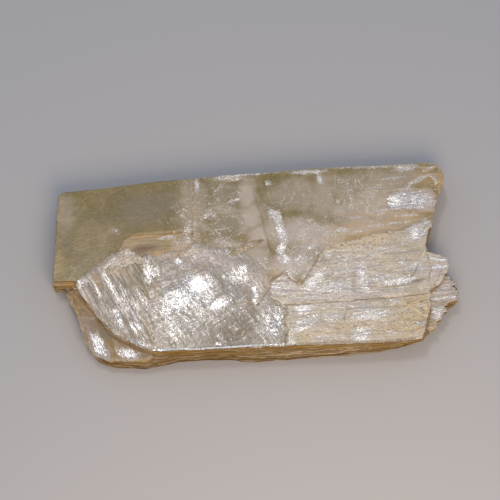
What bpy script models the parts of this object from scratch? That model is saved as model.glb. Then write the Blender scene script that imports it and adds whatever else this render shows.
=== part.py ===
"""A book of pale mica, lying flat on its cleavage.

Mica grows as a stack of thin sheets. The book is built the way it splits: packets of sheets lie on each
other, each a flat plate with its own torn outline, and one Boolean union makes them the single crystal that
they are. Where an upper packet stops short of a lower one there is a ledge.

Frame: +Z up, origin under the middle of the book on the surface it lies on, +X along its length towards the
splintered end, +Y towards its straight back edge. Outlines are in millimetres and run counter-clockwise,
seen from above.
"""

import math
import random

import bmesh
import bpy
from mathutils import Vector

MM = 0.001

# Driving dimensions of the whole book, in millimetres.
LENGTH = 93.0
DEPTH = 45.6
THICKNESS = 7.4
TEAR_STEP = 2.6  # how far apart the teeth of a torn edge are
PACKET_OVERLAP = 0.15  # how far a packet reaches into the one below, so that the union has no loose faces

BOOK_COLOUR = (0.56, 0.49, 0.40, 1.0)
BOOK_ROUGHNESS = 0.28
BOOK_METALLIC = 0.15

# The left end and the corner in front of it. The low run goes round the foot of the book, and the high run
# follows the upper packets, which broke off along a slant and left the corner terrace bare.
LEFT_LOW = [(-44.6, 19.8), (-45.4, 9.0), (-47.0, -1.5), (-44.0, -2.0), (-43.0, -4.0), (-42.5, -6.5),
            (-41.0, -9.0), (-40.0, -11.5), (-39.0, -14.5), (-38.5, -17.5), (-37.0, -20.0), (-35.0, -21.2),
            (-31.0, -22.0), (-26.5, -22.6), (-22.5, -22.0)]
LEFT_HIGH = [(-44.6, 19.8), (-45.4, 9.0), (-46.1, -2.0), (-41.0, -2.5), (-39.8, -4.0), (-39.0, -6.0),
             (-38.4, -8.0), (-37.0, -10.0), (-35.5, -12.5), (-34.0, -14.5), (-32.5, -16.0), (-30.5, -17.5),
             (-28.0, -19.0), (-26.0, -20.0), (-23.5, -21.0)]

# The long front edge. Its foot bulges in two places and is cut back under the right-hand corner.
FRONT_LOW = [(-19.0, -21.4), (-12.5, -21.4), (-7.0, -21.6), (-4.5, -22.3), (0.0, -22.5), (9.0, -22.5),
             (16.0, -22.7), (26.5, -22.4), (31.5, -21.8), (35.0, -21.0), (37.6, -20.2)]
FRONT_HIGH = [(-19.0, -21.0), (-12.5, -21.3), (-7.0, -21.4), (-2.0, -21.5), (3.0, -21.6), (9.0, -22.0),
              (16.0, -22.4), (25.0, -22.6), (30.0, -22.8), (34.5, -22.6), (36.8, -22.3)]

# The splintered right-hand end, with a wide notch between its two prongs.
RIGHT_LOW = [(39.8, -18.0), (41.6, -15.2), (43.0, -13.2), (46.0, -12.2), (47.0, -9.8), (44.6, -6.4),
             (44.8, -4.0), (44.2, -1.2), (42.5, -0.3), (41.0, 0.6), (40.6, 1.6), (41.2, 3.0), (42.6, 7.0),
             (43.6, 10.6), (44.4, 13.6), (45.8, 16.6), (46.4, 19.8), (45.2, 21.8)]
RIGHT_HIGH = [(38.4, -18.4), (39.4, -15.0), (39.4, -11.0), (41.6, -9.2), (42.8, -7.2), (43.8, -6.0),
              (44.4, -4.6), (44.4, -2.8), (42.6, -1.8), (41.0, -0.8), (40.2, 0.6), (40.8, 2.6), (42.2, 6.2),
              (43.2, 9.6), (44.2, 12.6), (45.6, 15.8), (46.5, 19.0), (45.0, 21.6)]

# The straight growth edge at the back.
BACK = [(40.0, 22.4), (32.0, 22.6), (20.0, 22.8), (5.0, 22.6), (-5.0, 22.5), (-15.0, 22.2), (-25.0, 21.9),
        (-34.5, 21.2), (-43.4, 20.8)]

# The whole packets: (floor, roof, how far the outline has moved from the low runs to the high ones, how
# deep its edge is torn).
PACKETS = [
    (0.0, 0.9, 0.00, 0.22),
    (0.9, 2.0, 0.10, 0.35),
    (2.0, 3.5, 0.04, 0.25),
    (3.5, 4.5, 0.62, 0.35),
    (4.5, 5.7, 0.86, 0.22),
    (5.7, 6.5, 1.00, 0.18),
]
FOOT_INSET = 0.7  # the lowest packet stands back from the edge of the next one

# The cleaved sheets that are left on top: name -> (roof, fall towards the front in degrees, outline).
CLEAR_PANE = [(-44.4, 19.8), (-46.0, -2.0), (-40.5, -2.5), (-38.0, 0.0), (-35.0, 2.0), (-32.5, 5.5),
              (-29.5, 8.0), (-21.0, 7.4), (-15.0, 7.6), (-13.5, 8.4), (-12.6, 15.0), (-12.8, 21.9),
              (-24.0, 21.6), (-34.5, 20.9), (-43.2, 20.5)]
CORNER_FAN = [(-40.6, -2.5), (-38.4, -8.0), (-35.5, -12.5), (-32.5, -16.0), (-28.5, -18.8), (-23.8, -20.8),
              (-22.6, -20.4), (-24.0, -14.5), (-24.6, -8.5), (-23.6, -5.0), (-22.4, 1.0), (-23.5, 3.2),
              (-26.5, 2.4), (-28.5, 3.0), (-30.0, 4.0), (-33.0, 3.0), (-35.5, 1.0), (-38.5, -0.5)]
BRIGHT_SHEET = [(-23.5, 2.0), (-24.4, -5.0), (-25.2, -8.5), (-24.8, -14.5), (-23.0, -20.9), (-9.0, -21.2),
                (5.0, -21.6), (5.6, -19.0), (2.0, -15.5), (-0.5, -13.0), (1.0, -10.5), (0.6, -0.5),
                (-3.0, 2.0), (-8.5, 3.0), (-14.5, 5.0), (-20.0, 4.0)]
CENTRE_STRIP = [(-13.4, 21.9), (-13.0, 8.6), (-10.0, 5.2), (-4.0, 2.5), (2.5, -1.5), (5.0, -5.5), (7.5, -4.2),
                (5.6, 5.0), (5.2, 11.0), (4.6, 22.3), (-5.0, 22.2)]
BACK_PANE = [(4.2, 22.2), (4.6, 11.0), (5.0, 3.0), (7.5, -4.2), (9.5, -6.2), (11.0, -6.0), (12.5, -4.5),
             (14.5, -2.5), (15.2, -0.5), (16.2, 1.0), (19.0, 1.0), (25.0, 4.5), (33.5, 5.5), (38.0, 7.5),
             (42.4, 7.0), (43.4, 10.5), (44.2, 12.8), (45.6, 16.0), (46.2, 19.0), (44.8, 21.4), (40.0, 22.1),
             (32.0, 22.3), (20.0, 22.5)]
MIDDLE_LATHS = [(8.5, -5.6), (12.0, -8.0), (20.0, -8.6), (31.0, -7.6), (40.8, -8.4), (43.4, -5.4),
                (44.0, -3.0), (41.0, -1.0), (40.0, 0.6), (41.4, 4.4), (42.0, 7.2), (33.0, 6.4), (24.0, 5.2),
                (15.6, 1.6), (14.0, -2.0), (11.0, -5.2)]
FRONT_LATHS = [(6.6, -11.8), (7.0, -16.0), (5.6, -21.4), (13.5, -22.0), (25.0, -22.3), (34.0, -22.3),
               (36.4, -22.0), (38.0, -18.4), (39.0, -15.0), (39.0, -11.4), (25.0, -11.8), (15.0, -11.9)]
TOP_SHEETS = {
    "clear_pane": (7.10, 0.0, CLEAR_PANE),
    "corner_fan": (7.05, 1.4, CORNER_FAN),
    "bright_sheet": (6.95, 0.2, BRIGHT_SHEET),
    "centre_strip": (THICKNESS, 0.0, CENTRE_STRIP),
    "back_pane": (7.15, 0.3, BACK_PANE),
    "middle_laths": (6.85, 0.5, MIDDLE_LATHS),
    "front_laths": (6.80, 0.2, FRONT_LATHS),
}
SHEET_TEAR = 0.25

# Right of the middle the top sheets have frayed into laths that run along the book, each lower than the one
# behind it: (left end, right end, middle of its width, width, roof).
LATHS = [
    (13.0, 41.5, 1.6, 4.6, 7.05),
    (18.0, 43.6, -2.4, 3.6, 7.00),
    (9.5, 34.0, -6.6, 3.2, 6.98),
    (26.0, 42.4, -9.0, 2.8, 6.92),
    (14.0, 38.6, -14.0, 3.4, 6.96),
    (8.0, 26.0, -17.2, 3.0, 6.92),
    (22.0, 37.6, -19.6, 3.2, 6.90),
]
LATH_TAPER = 0.22  # the share of a lath's length over which each end comes to a point
LATH_TEAR = 0.3

# Scales that stand a little proud: the bright one by the splintered end and the two lobes of the fan.
BRIGHT_SCALE = [(32.6, 10.2), (34.0, 8.6), (38.0, 8.0), (42.2, 8.2), (43.2, 10.4), (43.8, 13.0),
                (38.0, 14.9), (34.4, 14.6), (32.2, 13.6)]
FAN_LOBE = [(-40.8, -2.4), (-38.6, -4.6), (-36.6, -8.6), (-34.4, -6.6), (-36.2, -1.6), (-38.2, -0.2)]
FAN_BLADE = [(-35.6, 1.2), (-34.6, -3.4), (-32.0, -9.4), (-29.2, -14.2), (-27.4, -13.0), (-29.6, -6.4),
             (-31.8, -0.4), (-33.6, 2.6)]
SCALES = {
    "bright_scale": (7.38, BRIGHT_SCALE),
    "fan_lobe": (7.25, FAN_LOBE),
    "fan_blade": (7.30, FAN_BLADE),
}

# The slanting piece of lower packets on the corner terrace.
CORNER_SCALE = [(-40.6, -10.4), (-39.8, -13.5), (-39.0, -17.0), (-37.2, -19.8), (-33.5, -21.3),
                (-26.0, -22.2), (-26.0, -19.0), (-31.0, -15.5), (-35.0, -10.0)]
CORNER_SCALE_ROOF = 4.3
CORNER_SCALE_THICKNESS = 1.6
CORNER_SCALE_FALL = 5.0  # degrees, down towards the corner


def blend(low_run, high_run, share):
    """The run that lies this share of the way from the low run to the high one, point for point."""
    return [
        (low[0] + share * (high[0] - low[0]), low[1] + share * (high[1] - low[1]))
        for low, high in zip(low_run, high_run)
    ]


def whole_outline(share, inset):
    """The book's outline at one level, drawn in towards the middle by the inset."""
    outline = (
        blend(LEFT_LOW, LEFT_HIGH, share)
        + blend(FRONT_LOW, FRONT_HIGH, share)
        + blend(RIGHT_LOW, RIGHT_HIGH, share)
        + BACK
    )
    shrink = Vector((1 - 2 * inset / LENGTH, 1 - 2 * inset / DEPTH))
    return [(x * shrink.x, y * shrink.y) for x, y in outline]


def torn(outline, depth, seed):
    """The outline with a point every TEAR_STEP, each moved in or out by up to the tear's depth."""
    dice = random.Random(seed)
    points = []
    for start, end in zip(outline, outline[1:] + outline[:1]):
        start, end = Vector(start), Vector(end)
        run = end - start
        outward = Vector((run.y, -run.x)).normalized()
        steps = max(1, round(run.length / TEAR_STEP))
        for step in range(steps):
            point = start + run * (step / steps) + outward * dice.uniform(-depth, depth)
            x = min(max(point.x, -LENGTH / 2), LENGTH / 2)
            y = min(max(point.y, -DEPTH / 2), DEPTH / 2)
            points.append((x, y))
    return points


def mesh_from_curve(curve_object, collection):
    """Swaps a curve object for a welded mesh object with the same name and place."""
    name = curve_object.name
    bpy.context.view_layer.update()
    graph = bpy.context.evaluated_depsgraph_get()
    mesh = bpy.data.meshes.new_from_object(curve_object.evaluated_get(graph))
    welded = bmesh.new()
    welded.from_mesh(mesh)
    bmesh.ops.remove_doubles(welded, verts=welded.verts, dist=0.001 * MM)
    bmesh.ops.recalc_face_normals(welded, faces=welded.faces)
    welded.to_mesh(mesh)
    welded.free()
    place = curve_object.matrix_world.copy()
    bpy.data.objects.remove(curve_object)
    mesh_object = bpy.data.objects.new(name, mesh)
    mesh_object.matrix_world = place
    collection.objects.link(mesh_object)
    return mesh_object


def plate(name, outline, floor, roof, collection, tilt=(0.0, 0.0)):
    """A flat plate with this outline, from floor to roof, tilted about X and Y by degrees round its middle."""
    middle = Vector((
        sum(x for x, y in outline) / len(outline),
        sum(y for x, y in outline) / len(outline),
        (floor + roof) / 2,
    ))
    curve = bpy.data.curves.new(name, "CURVE")
    curve.dimensions = "2D"
    curve.fill_mode = "BOTH"
    curve.extrude = (roof - floor) / 2 * MM
    spline = curve.splines.new("POLY")
    spline.points.add(len(outline) - 1)
    for point, (x, y) in zip(spline.points, outline):
        point.co = ((x - middle.x) * MM, (y - middle.y) * MM, 0.0, 1.0)
    spline.use_cyclic_u = True
    curve_object = bpy.data.objects.new(name, curve)
    curve_object.location = middle * MM
    curve_object.rotation_euler = (math.radians(tilt[0]), math.radians(tilt[1]), 0.0)
    collection.objects.link(curve_object)
    return mesh_from_curve(curve_object, collection)


def mica_material():
    """Pale, pearly and slightly golden."""
    material = bpy.data.materials.new("mica")
    material.use_nodes = True
    shader = material.node_tree.nodes["Principled BSDF"]
    shader.inputs["Base Color"].default_value = BOOK_COLOUR
    shader.inputs["Roughness"].default_value = BOOK_ROUGHNESS
    shader.inputs["Metallic"].default_value = BOOK_METALLIC
    return material


def build_packets(collection):
    """The whole packets, from the foot up. Each one reaches a little way into the one below."""
    plates = []
    for level, (floor, roof, share, tear) in enumerate(PACKETS):
        inset = FOOT_INSET if level == 0 else 0.0
        outline = torn(whole_outline(share, inset), tear, seed=level)
        sunk_floor = floor if level == 0 else floor - PACKET_OVERLAP
        plates.append(plate(f"packet_{level + 1}", outline, sunk_floor, roof, collection))
    return plates


def build_top_sheets(collection):
    """The cleaved sheets on the uppermost whole packet, which slope down a little towards the front."""
    packet_roof = PACKETS[-1][1]
    for number, (name, (roof, fall, outline)) in enumerate(TOP_SHEETS.items()):
        ragged = torn(outline, SHEET_TEAR, seed=100 + number)
        plate(name, ragged, packet_roof - 3 * PACKET_OVERLAP, roof, collection, tilt=(fall, 0.0))


def lath_outline(left, right, middle, width):
    """A long strip that narrows to a blunt point at each end."""
    taper = LATH_TAPER * (right - left)
    half = width / 2
    return [
        (left, middle),
        (left + taper, middle - half),
        (right - taper, middle - half),
        (right, middle - half / 3),
        (right, middle + half / 3),
        (right - taper, middle + half),
        (left + taper, middle + half),
    ]


def build_laths(collection):
    """The frayed laths, from the back to the front."""
    floor = PACKETS[-1][1] - PACKET_OVERLAP
    for number, (left, right, middle, width, roof) in enumerate(LATHS):
        ragged = torn(lath_outline(left, right, middle, width), LATH_TEAR, seed=300 + number)
        plate(f"lath_{number + 1}", ragged, floor, roof, collection)


def build_scales(collection):
    """The single scales that stand proud of the sheets round them."""
    floor = PACKETS[-1][1] - PACKET_OVERLAP
    for number, (name, (roof, outline)) in enumerate(SCALES.items()):
        ragged = torn(outline, SHEET_TEAR, seed=400 + number)
        plate(name, ragged, floor, roof, collection)


def build_corner_scale(collection):
    """The tilted scale of lower sheets that shows on the corner terrace."""
    outline = torn(CORNER_SCALE, SHEET_TEAR, seed=200)
    floor = CORNER_SCALE_ROOF - CORNER_SCALE_THICKNESS
    tilt = (CORNER_SCALE_FALL, -CORNER_SCALE_FALL)
    plate("corner_scale", outline, floor, CORNER_SCALE_ROOF, collection, tilt)


def build_book():
    """Joins every plate into the one solid book."""
    model = bpy.data.collections.new("mica_specimen")
    plates = bpy.data.collections.new("plates")
    bpy.context.scene.collection.children.link(model)
    bpy.context.scene.collection.children.link(plates)
    book = build_packets(plates)[0]
    plates.objects.unlink(book)
    model.objects.link(book)
    book.name = "mica_book"
    build_top_sheets(plates)
    build_laths(plates)
    build_scales(plates)
    build_corner_scale(plates)
    for cutter in plates.objects:
        cutter.hide_render = True
        cutter.display_type = "WIRE"
    union = book.modifiers.new("join_plates", "BOOLEAN")
    union.operation = "UNION"
    union.operand_type = "COLLECTION"
    union.collection = plates
    union.solver = "EXACT"
    book.data.materials.clear()
    book.data.materials.append(mica_material())


for leftover in list(bpy.data.objects):
    bpy.data.objects.remove(leftover)
build_book()
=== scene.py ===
"""The looks of a book of pale mica, lying flat on its cleavage.

Lengths are in millimetres until a mesh is written, which is in metres. +X runs towards the splintered end, +Y
towards the straight back edge, and +Z up from the surface that the book lies on.
"""

import math

import bmesh
import bpy
import numpy as np
from mathutils import Matrix, Vector


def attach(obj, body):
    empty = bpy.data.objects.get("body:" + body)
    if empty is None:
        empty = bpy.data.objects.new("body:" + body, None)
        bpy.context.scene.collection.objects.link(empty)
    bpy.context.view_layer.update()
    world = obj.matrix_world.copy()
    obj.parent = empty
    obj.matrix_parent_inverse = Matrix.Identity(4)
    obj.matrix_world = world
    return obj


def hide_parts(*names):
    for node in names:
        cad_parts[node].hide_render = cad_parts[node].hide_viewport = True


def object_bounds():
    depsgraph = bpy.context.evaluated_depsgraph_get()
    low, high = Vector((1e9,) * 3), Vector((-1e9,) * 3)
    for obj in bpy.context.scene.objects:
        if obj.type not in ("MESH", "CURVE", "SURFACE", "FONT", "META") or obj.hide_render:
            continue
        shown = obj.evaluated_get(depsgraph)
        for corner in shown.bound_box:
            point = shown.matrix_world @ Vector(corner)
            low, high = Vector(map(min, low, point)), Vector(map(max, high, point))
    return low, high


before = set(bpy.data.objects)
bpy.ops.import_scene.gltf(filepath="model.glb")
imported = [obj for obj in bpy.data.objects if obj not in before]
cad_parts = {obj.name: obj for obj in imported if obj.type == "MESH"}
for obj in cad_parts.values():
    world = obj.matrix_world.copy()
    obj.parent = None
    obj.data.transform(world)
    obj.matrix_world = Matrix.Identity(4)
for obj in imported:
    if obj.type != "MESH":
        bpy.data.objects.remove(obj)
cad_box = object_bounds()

# ---------------------------------------------------------------------------------------------------------
# The packets. A book of mica is a stack of thin sheets, grown as one crystal, that splits into packets. Seven
# of them carry everything above, and their layered golden edges are what shows from the side.

MM = 0.001  # metres in a millimetre
LATTICE = 64  # after this many units a noise repeats
BOX_LOW, BOX_HIGH = (np.array(corner) / MM for corner in cad_box)

LEFT_LOW = [
    (-44.6, 19.8), (-45.4, 9), (-47, -1.5), (-44, -2), (-43, -4), (-42.5, -6.5), (-41, -9), (-40, -11.5),
    (-39, -14.5), (-38.5, -17.5), (-37, -20), (-35, -21.2), (-31, -22), (-26.5, -22.6), (-22.5, -22)]
LEFT_HIGH = [
    (-44.6, 19.8), (-45.4, 9), (-46.1, -2), (-41, -2.5), (-39.8, -4), (-39, -6), (-38.4, -8), (-37, -10),
    (-35.5, -12.5), (-34, -14.5), (-32.5, -16), (-30.5, -17.5), (-28, -19), (-26, -20), (-23.5, -21)]
FRONT_LOW = [
    (-19, -21.4), (-12.5, -21.4), (-7, -21.6), (-4.5, -22.3), (0, -22.5), (9, -22.5), (16, -22.7),
    (26.5, -22.4), (31.5, -21.8), (35, -21), (37.6, -20.2)]
FRONT_HIGH = [
    (-19, -21), (-12.5, -21.3), (-7, -21.4), (-2, -21.5), (3, -21.6), (9, -22), (16, -22.4), (25, -22.6),
    (30, -22.8), (34.5, -22.6), (36.8, -22.3)]
RIGHT_LOW = [
    (39.8, -18), (41.6, -15.2), (43, -13.2), (46, -12.2), (47, -9.8), (44.6, -6.4), (44.8, -4),
    (44.2, -1.2), (42.5, -0.3), (41, 0.6), (40.6, 1.6), (41.2, 3), (42.6, 7), (43.6, 10.6), (44.4, 13.6),
    (45.8, 16.6), (46.4, 19.8), (45.2, 21.8)]
RIGHT_HIGH = [
    (38.4, -18.4), (39.4, -15), (39.4, -11), (41.6, -9.2), (42.8, -7.2), (43.8, -6), (44.4, -4.6),
    (44.4, -2.8), (42.6, -1.8), (41, -0.8), (40.2, 0.6), (40.8, 2.6), (42.2, 6.2), (43.2, 9.6),
    (44.2, 12.6), (45.6, 15.8), (46.5, 19), (45, 21.6)]
BACK = [
    (40, 22.4), (32, 22.6), (20, 22.8), (5, 22.6), (-5, 22.5), (-15, 22.2), (-25, 21.9), (-34.5, 21.2),
    (-43.4, 20.8)]


def value_noise(x, y, seed):
    """Smooth noise from -1 to 1: random heights on a unit lattice, joined by a quintic ease both ways."""
    lattice = np.random.default_rng(seed).uniform(-1.0, 1.0, (LATTICE, LATTICE))
    column, row = np.floor(x).astype(int), np.floor(y).astype(int)
    u, v = x - column, y - row
    u, v = (t ** 3 * (t * (6.0 * t - 15.0) + 10.0) for t in (u, v))
    near, far = column % LATTICE, (column + 1) % LATTICE
    low, high = row % LATTICE, (row + 1) % LATTICE
    front = lattice[near, low] * (1.0 - u) + lattice[far, low] * u
    back = lattice[near, high] * (1.0 - u) + lattice[far, high] * u
    return front * (1.0 - v) + back * v


def fractal(x, y, seed, octaves=4, gain=0.55, shift=7.3, spread=1.5):
    """Rough noise from about -1 to 1: each octave is twice as fine as the last, gain times as strong, and
    shifted so that their lattices don't line up. The sum is widened by spread."""
    total = sum(gain ** k * value_noise(x * 2 ** k + shift * k, y * 2 ** k, seed + k) for k in range(octaves))
    return total / sum(gain ** k for k in range(octaves)) * spread


def turned(x, y, turn=0.0):
    """A place in axes that are turned by an angle in degrees: how far along them, and how far across."""
    c, s = math.cos(math.radians(turn)), math.sin(math.radians(turn))
    return x * c + y * s, y * c - x * s


def grain(x, y, turn, length, width, seed, octaves=4):
    """Fractal noise drawn out along a direction: turn in degrees from +X, and the size of its patches."""
    along, across = turned(x, y, turn)
    return fractal(along / length, across / width, seed, octaves)


def far_from_line(x, y, line):
    """The distance from each point to the nearest straight run of a line."""
    nearest = np.full(np.shape(x), np.inf)
    for (ax, ay), (bx, by) in zip(line, line[1:]):
        dx, dy = bx - ax, by - ay
        share = np.clip(((x - ax) * dx + (y - ay) * dy) / (dx * dx + dy * dy), 0.0, 1.0)
        nearest = np.minimum(nearest, np.hypot(x - ax - share * dx, y - ay - share * dy))
    return nearest


def inside_depth(x, y, outline):
    """How far each point lies inside an outline, negative outside it: the distance to its nearest side, with
    a sign from how often a ray towards +X crosses the outline."""
    closed = outline + outline[:1]
    nearest = far_from_line(x, y, closed)
    crossed = np.zeros(np.shape(x), bool)
    for (ax, ay), (bx, by) in zip(closed, closed[1:]):
        if ay != by:
            crossed ^= ((ay > y) != (by > y)) & (x < ax + (y - ay) * (bx - ax) / (by - ay))
    return np.where(crossed, nearest, -nearest)


def ease(t, low, high):
    """0 below low, 1 above high, and a smooth step between them."""
    t = np.clip((t - low) / (high - low), 0.0, 1.0)
    return t * t * (3.0 - 2.0 * t)


def worn_rim(depth, width, drop):
    """How far a roof dips near its rim: by drop at the rim itself, easing to nothing at width from it."""
    return drop * ease(width - depth, 0.0, width)


def stairs(value, count, riser=0.25):
    """Cleavage steps out of a smooth surface: count treads to a unit, with a riser over their last part."""
    level = value * count
    tread = np.floor(level)
    return (tread + ease(level - tread, 1.0 - riser, 1.0)) / count


def stain(x, y, blots, streak, ragged, seed, reach=1.45, fade=1.1):
    """How strongly the strongest of a set of soft blots covers each point. A blot is an ellipse: (x, y, half
    length, half width, turn in degrees if it has one, strength). It fades over the last part of its reach, in
    half lengths, and its rim is broken up by ragged times a noise, drawn out like the streak: (turn, length,
    width)."""
    cover = np.zeros(np.shape(x))
    ragged = ragged * grain(x, y, *streak, seed, 5)
    for bx, by, length, width, *turn, strength in blots:
        along, across = turned(x - bx, y - by, *turn)
        within = reach - np.hypot(along / length, across / width) + ragged
        cover = np.maximum(cover, strength * ease(within, 0.0, fade))
    return cover


def runs(line, width, strength=1.0):
    """Blots that follow a line: a long thin one over each straight run, long enough to meet the next."""
    return [((ax + bx) / 2, (ay + by) / 2, 0.65 * math.hypot(bx - ax, by - ay), width,
             math.degrees(math.atan2(by - ay, bx - ax)), strength)
            for (ax, ay), (bx, by) in zip(line, line[1:])]


def whole_patch(kept, start):
    """The kept cells that hang together with the start cell: it grows by rows of cells until it stops."""
    patch = np.zeros_like(kept)
    patch[start] = True
    size = 0
    while patch.sum() > size:
        size = patch.sum()
        for _ in range(8):
            grown = patch.copy()
            grown[1:] |= patch[:-1]
            grown[:-1] |= patch[1:]
            grown[:, 1:] |= patch[:, :-1]
            grown[:, :-1] |= patch[:, 1:]
            patch = grown & kept
    return patch


def sheet(outline, roof, floor=None, thickness=0.2, step=0.2, tear=0.2, tear_grain=(0.0, 2.0, 2.0),
          layers=3, layer_depth=0.05, seed=1):
    """A plate of mica as (corners, four-sided faces).

    Its plan is the part of a square grid that lies inside the outline, after fractal noise of the given depth
    has torn the outline, and the grid's rim is drawn onto that torn line. roof(x, y, depth) is the height of
    its upper face. The lower face is flat at floor, or follows the upper one at the given thickness. Between
    them the wall has one ring of corners for each layer, set back by noise of its own.
    """
    corners = np.array(outline)
    low, high = corners.min(0) - 3.0 * step - tear, corners.max(0) + 3.0 * step + tear
    x, y = np.meshgrid(np.arange(low[0], high[0], step), np.arange(low[1], high[1], step), indexing="ij")
    turn, length, width = tear_grain
    depth = inside_depth(x, y, outline) + tear * grain(x, y, turn, length, width, seed + 40)
    # The cells that are kept lie inside the torn line, in one patch, and none touch at a corner alone.
    solid = depth > -0.5 * step
    kept = solid[:-1, :-1] & solid[1:, :-1] & solid[:-1, 1:] & solid[1:, 1:]
    middle = np.unravel_index(np.argmax(depth[:-1, :-1] * kept), kept.shape)
    kept = whole_patch(kept, middle)
    while True:
        pinched = kept[:-1, :-1] & kept[1:, 1:] & ~kept[1:, :-1] & ~kept[:-1, 1:]
        crossed = kept[1:, :-1] & kept[:-1, 1:] & ~kept[:-1, :-1] & ~kept[1:, 1:]
        if not (pinched.any() or crossed.any()):
            break
        kept[1:, 1:] &= ~pinched
        kept[1:, :-1] &= ~crossed
        kept = whole_patch(kept, middle)

    # The cells' corners, and the sides with no cell beyond them, which make up the rim.
    number = np.arange(x.size).reshape(x.shape)
    padded = np.pad(kept, 1)
    a, b, c, d = number[:-1, :-1], number[1:, :-1], number[1:, 1:], number[:-1, 1:]
    bare = [(a, b, ~padded[1:-1, :-2]), (b, c, ~padded[2:, 1:-1]), (c, d, ~padded[1:-1, 2:]),
            (d, a, ~padded[:-2, 1:-1])]
    starts = np.concatenate([p[kept & open_side] for p, q, open_side in bare])
    ends = np.concatenate([q[kept & open_side] for p, q, open_side in bare])

    # The rim is pulled out or in to the torn line, down the slope of the depth.
    slope_x, slope_y = np.gradient(depth, step)
    steep = np.maximum(np.hypot(slope_x, slope_y), 0.3)
    rim = np.unique(starts)
    flat_x, flat_y, flat_depth = x.ravel().copy(), y.ravel().copy(), depth.ravel().copy()
    out_x, out_y = (-slope_x / steep).ravel(), (-slope_y / steep).ravel()
    pull = np.clip(flat_depth[rim] / steep.ravel()[rim], -1.2 * step, 1.2 * step)
    flat_x[rim] += out_x[rim] * pull
    flat_y[rim] += out_y[rim] * pull
    flat_depth[rim] = 0.0

    used = np.zeros(x.size, bool)
    for corner in (a, b, c, d):
        used[corner[kept]] = True
    order = np.cumsum(used) - 1
    top = np.stack([flat_x, flat_y, roof(flat_x, flat_y, np.maximum(flat_depth, 0.0))], 1)[used]
    quads = order[np.stack([corner[kept] for corner in (a, b, c, d)], 1)]
    starts, ends = order[starts], order[ends]

    # The wall, ring by ring, and the lower face where it isn't left to make_piece.
    rings, faces = [top], [quads]
    rim = np.unique(starts)
    place = np.zeros(len(top), int)
    place[rim] = np.arange(len(rim))
    edge, outward = top[rim], np.stack([out_x, out_y], 1)[used][rim]
    under = np.full(len(rim), floor) if floor is not None else edge[:, 2] - 0.35 * thickness
    above, count = rim, len(top)
    for k in range(1, layers + 1):
        share = k / layers
        height = edge[:, 2] * (1.0 - share) + under * share
        coarse = value_noise(edge[:, 0] / 14.0 + 31.7 * (k // 4), edge[:, 1] / 6.0, seed + 3)
        fine = fractal(edge[:, 0] / 6.0 + 13.1 * k, edge[:, 1] / 2.5, seed + 5, 3)
        back = layer_depth * np.clip(0.5 + 0.6 * coarse + 0.55 * fine, 0.0, None)
        rings.append(np.column_stack([edge[:, :2] - outward * back[:, None], height]))
        below = count + np.arange(len(rim))
        faces.append(np.stack([below[place[starts]], below[place[ends]], above[place[ends]],
                               above[place[starts]]], 1))
        above, count = below, count + len(rim)
    if floor is None:
        lower = top.copy()
        lower[:, 2] -= thickness * ease(flat_depth[used], -0.1, 2.5 * step)
        inner = np.ones(len(top), bool)
        inner[rim] = False
        renumber = np.empty(len(top), int)
        renumber[inner] = count + np.arange(inner.sum())
        renumber[rim] = above
        rings.append(lower[inner])
        faces.append(renumber[quads][:, ::-1])
    return np.clip(np.concatenate(rings), BOX_LOW, BOX_HIGH), np.concatenate(faces)


# Each kind of stain is an attribute of a mesh, and has a seed for the noise of its ragged rims. The smoke
# cover also carries a few painted shadows.
STAIN_SEEDS = {"silver": 6, "gold": 4, "smoke_and_shadow": 5, "blush": 5, "split": 5}
SMOOTH_BELOW = math.radians(38.0)


def make_piece(name, plates, finish, stains, streak=(0.0, 2.6, 1.8), ragged=0.4):
    """One object from plates: their open undersides are closed, and each stain's cover becomes an attribute
    of the mesh that the finish reads."""
    first, places, faces = 0, [], []
    for corners, quads in plates:
        places.append(corners)
        faces.append(quads + first)
        first += len(corners)
    places, faces = np.concatenate(places), np.concatenate(faces)
    mesh = bpy.data.meshes.new(name)
    mesh.vertices.add(len(places))
    mesh.vertices.foreach_set("co", (places * MM).astype(np.float32).ravel())
    mesh.loops.add(faces.size)
    mesh.loops.foreach_set("vertex_index", faces.astype(np.int32).ravel())
    mesh.polygons.add(len(faces))
    mesh.polygons.foreach_set("loop_start", np.arange(0, faces.size, 4, dtype=np.int32))
    mesh.update(calc_edges=True)
    mesh.validate()
    for kind, seed in STAIN_SEEDS.items():
        cover = stain(places[:, 0], places[:, 1], stains.get(kind, []), streak, ragged, seed)
        mesh.attributes.new(kind, "FLOAT", "POINT").data.foreach_set("value", cover.astype(np.float32))
    shape = bmesh.new()
    shape.from_mesh(mesh)
    bmesh.ops.holes_fill(shape, edges=[e for e in shape.edges if e.is_boundary], sides=0)
    shape.to_mesh(mesh)
    shape.free()
    mesh.shade_smooth()
    mesh.set_sharp_from_angle(angle=SMOOTH_BELOW)
    mesh.materials.append(finish)
    piece = bpy.data.objects.new(name, mesh)
    bpy.context.scene.collection.objects.link(piece)
    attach(piece, "root")
    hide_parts("mica_book")


def node(tree, kind, inputs, **settings):
    """Adds a shader node, and sets each named or numbered input to a value or links it to a socket."""
    made = tree.nodes.new("ShaderNode" + kind)
    for key, value in settings.items():
        setattr(made, key, value)
    for key, value in inputs.items():
        if isinstance(value, bpy.types.NodeSocket):
            tree.links.new(value, made.inputs[key])
        else:
            made.inputs[key].default_value = value
    return made


MICA_IOR, COAT_ROUGHNESS, BUMP_DEPTH = 1.58, 0.08, 0.05 * MM
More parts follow.
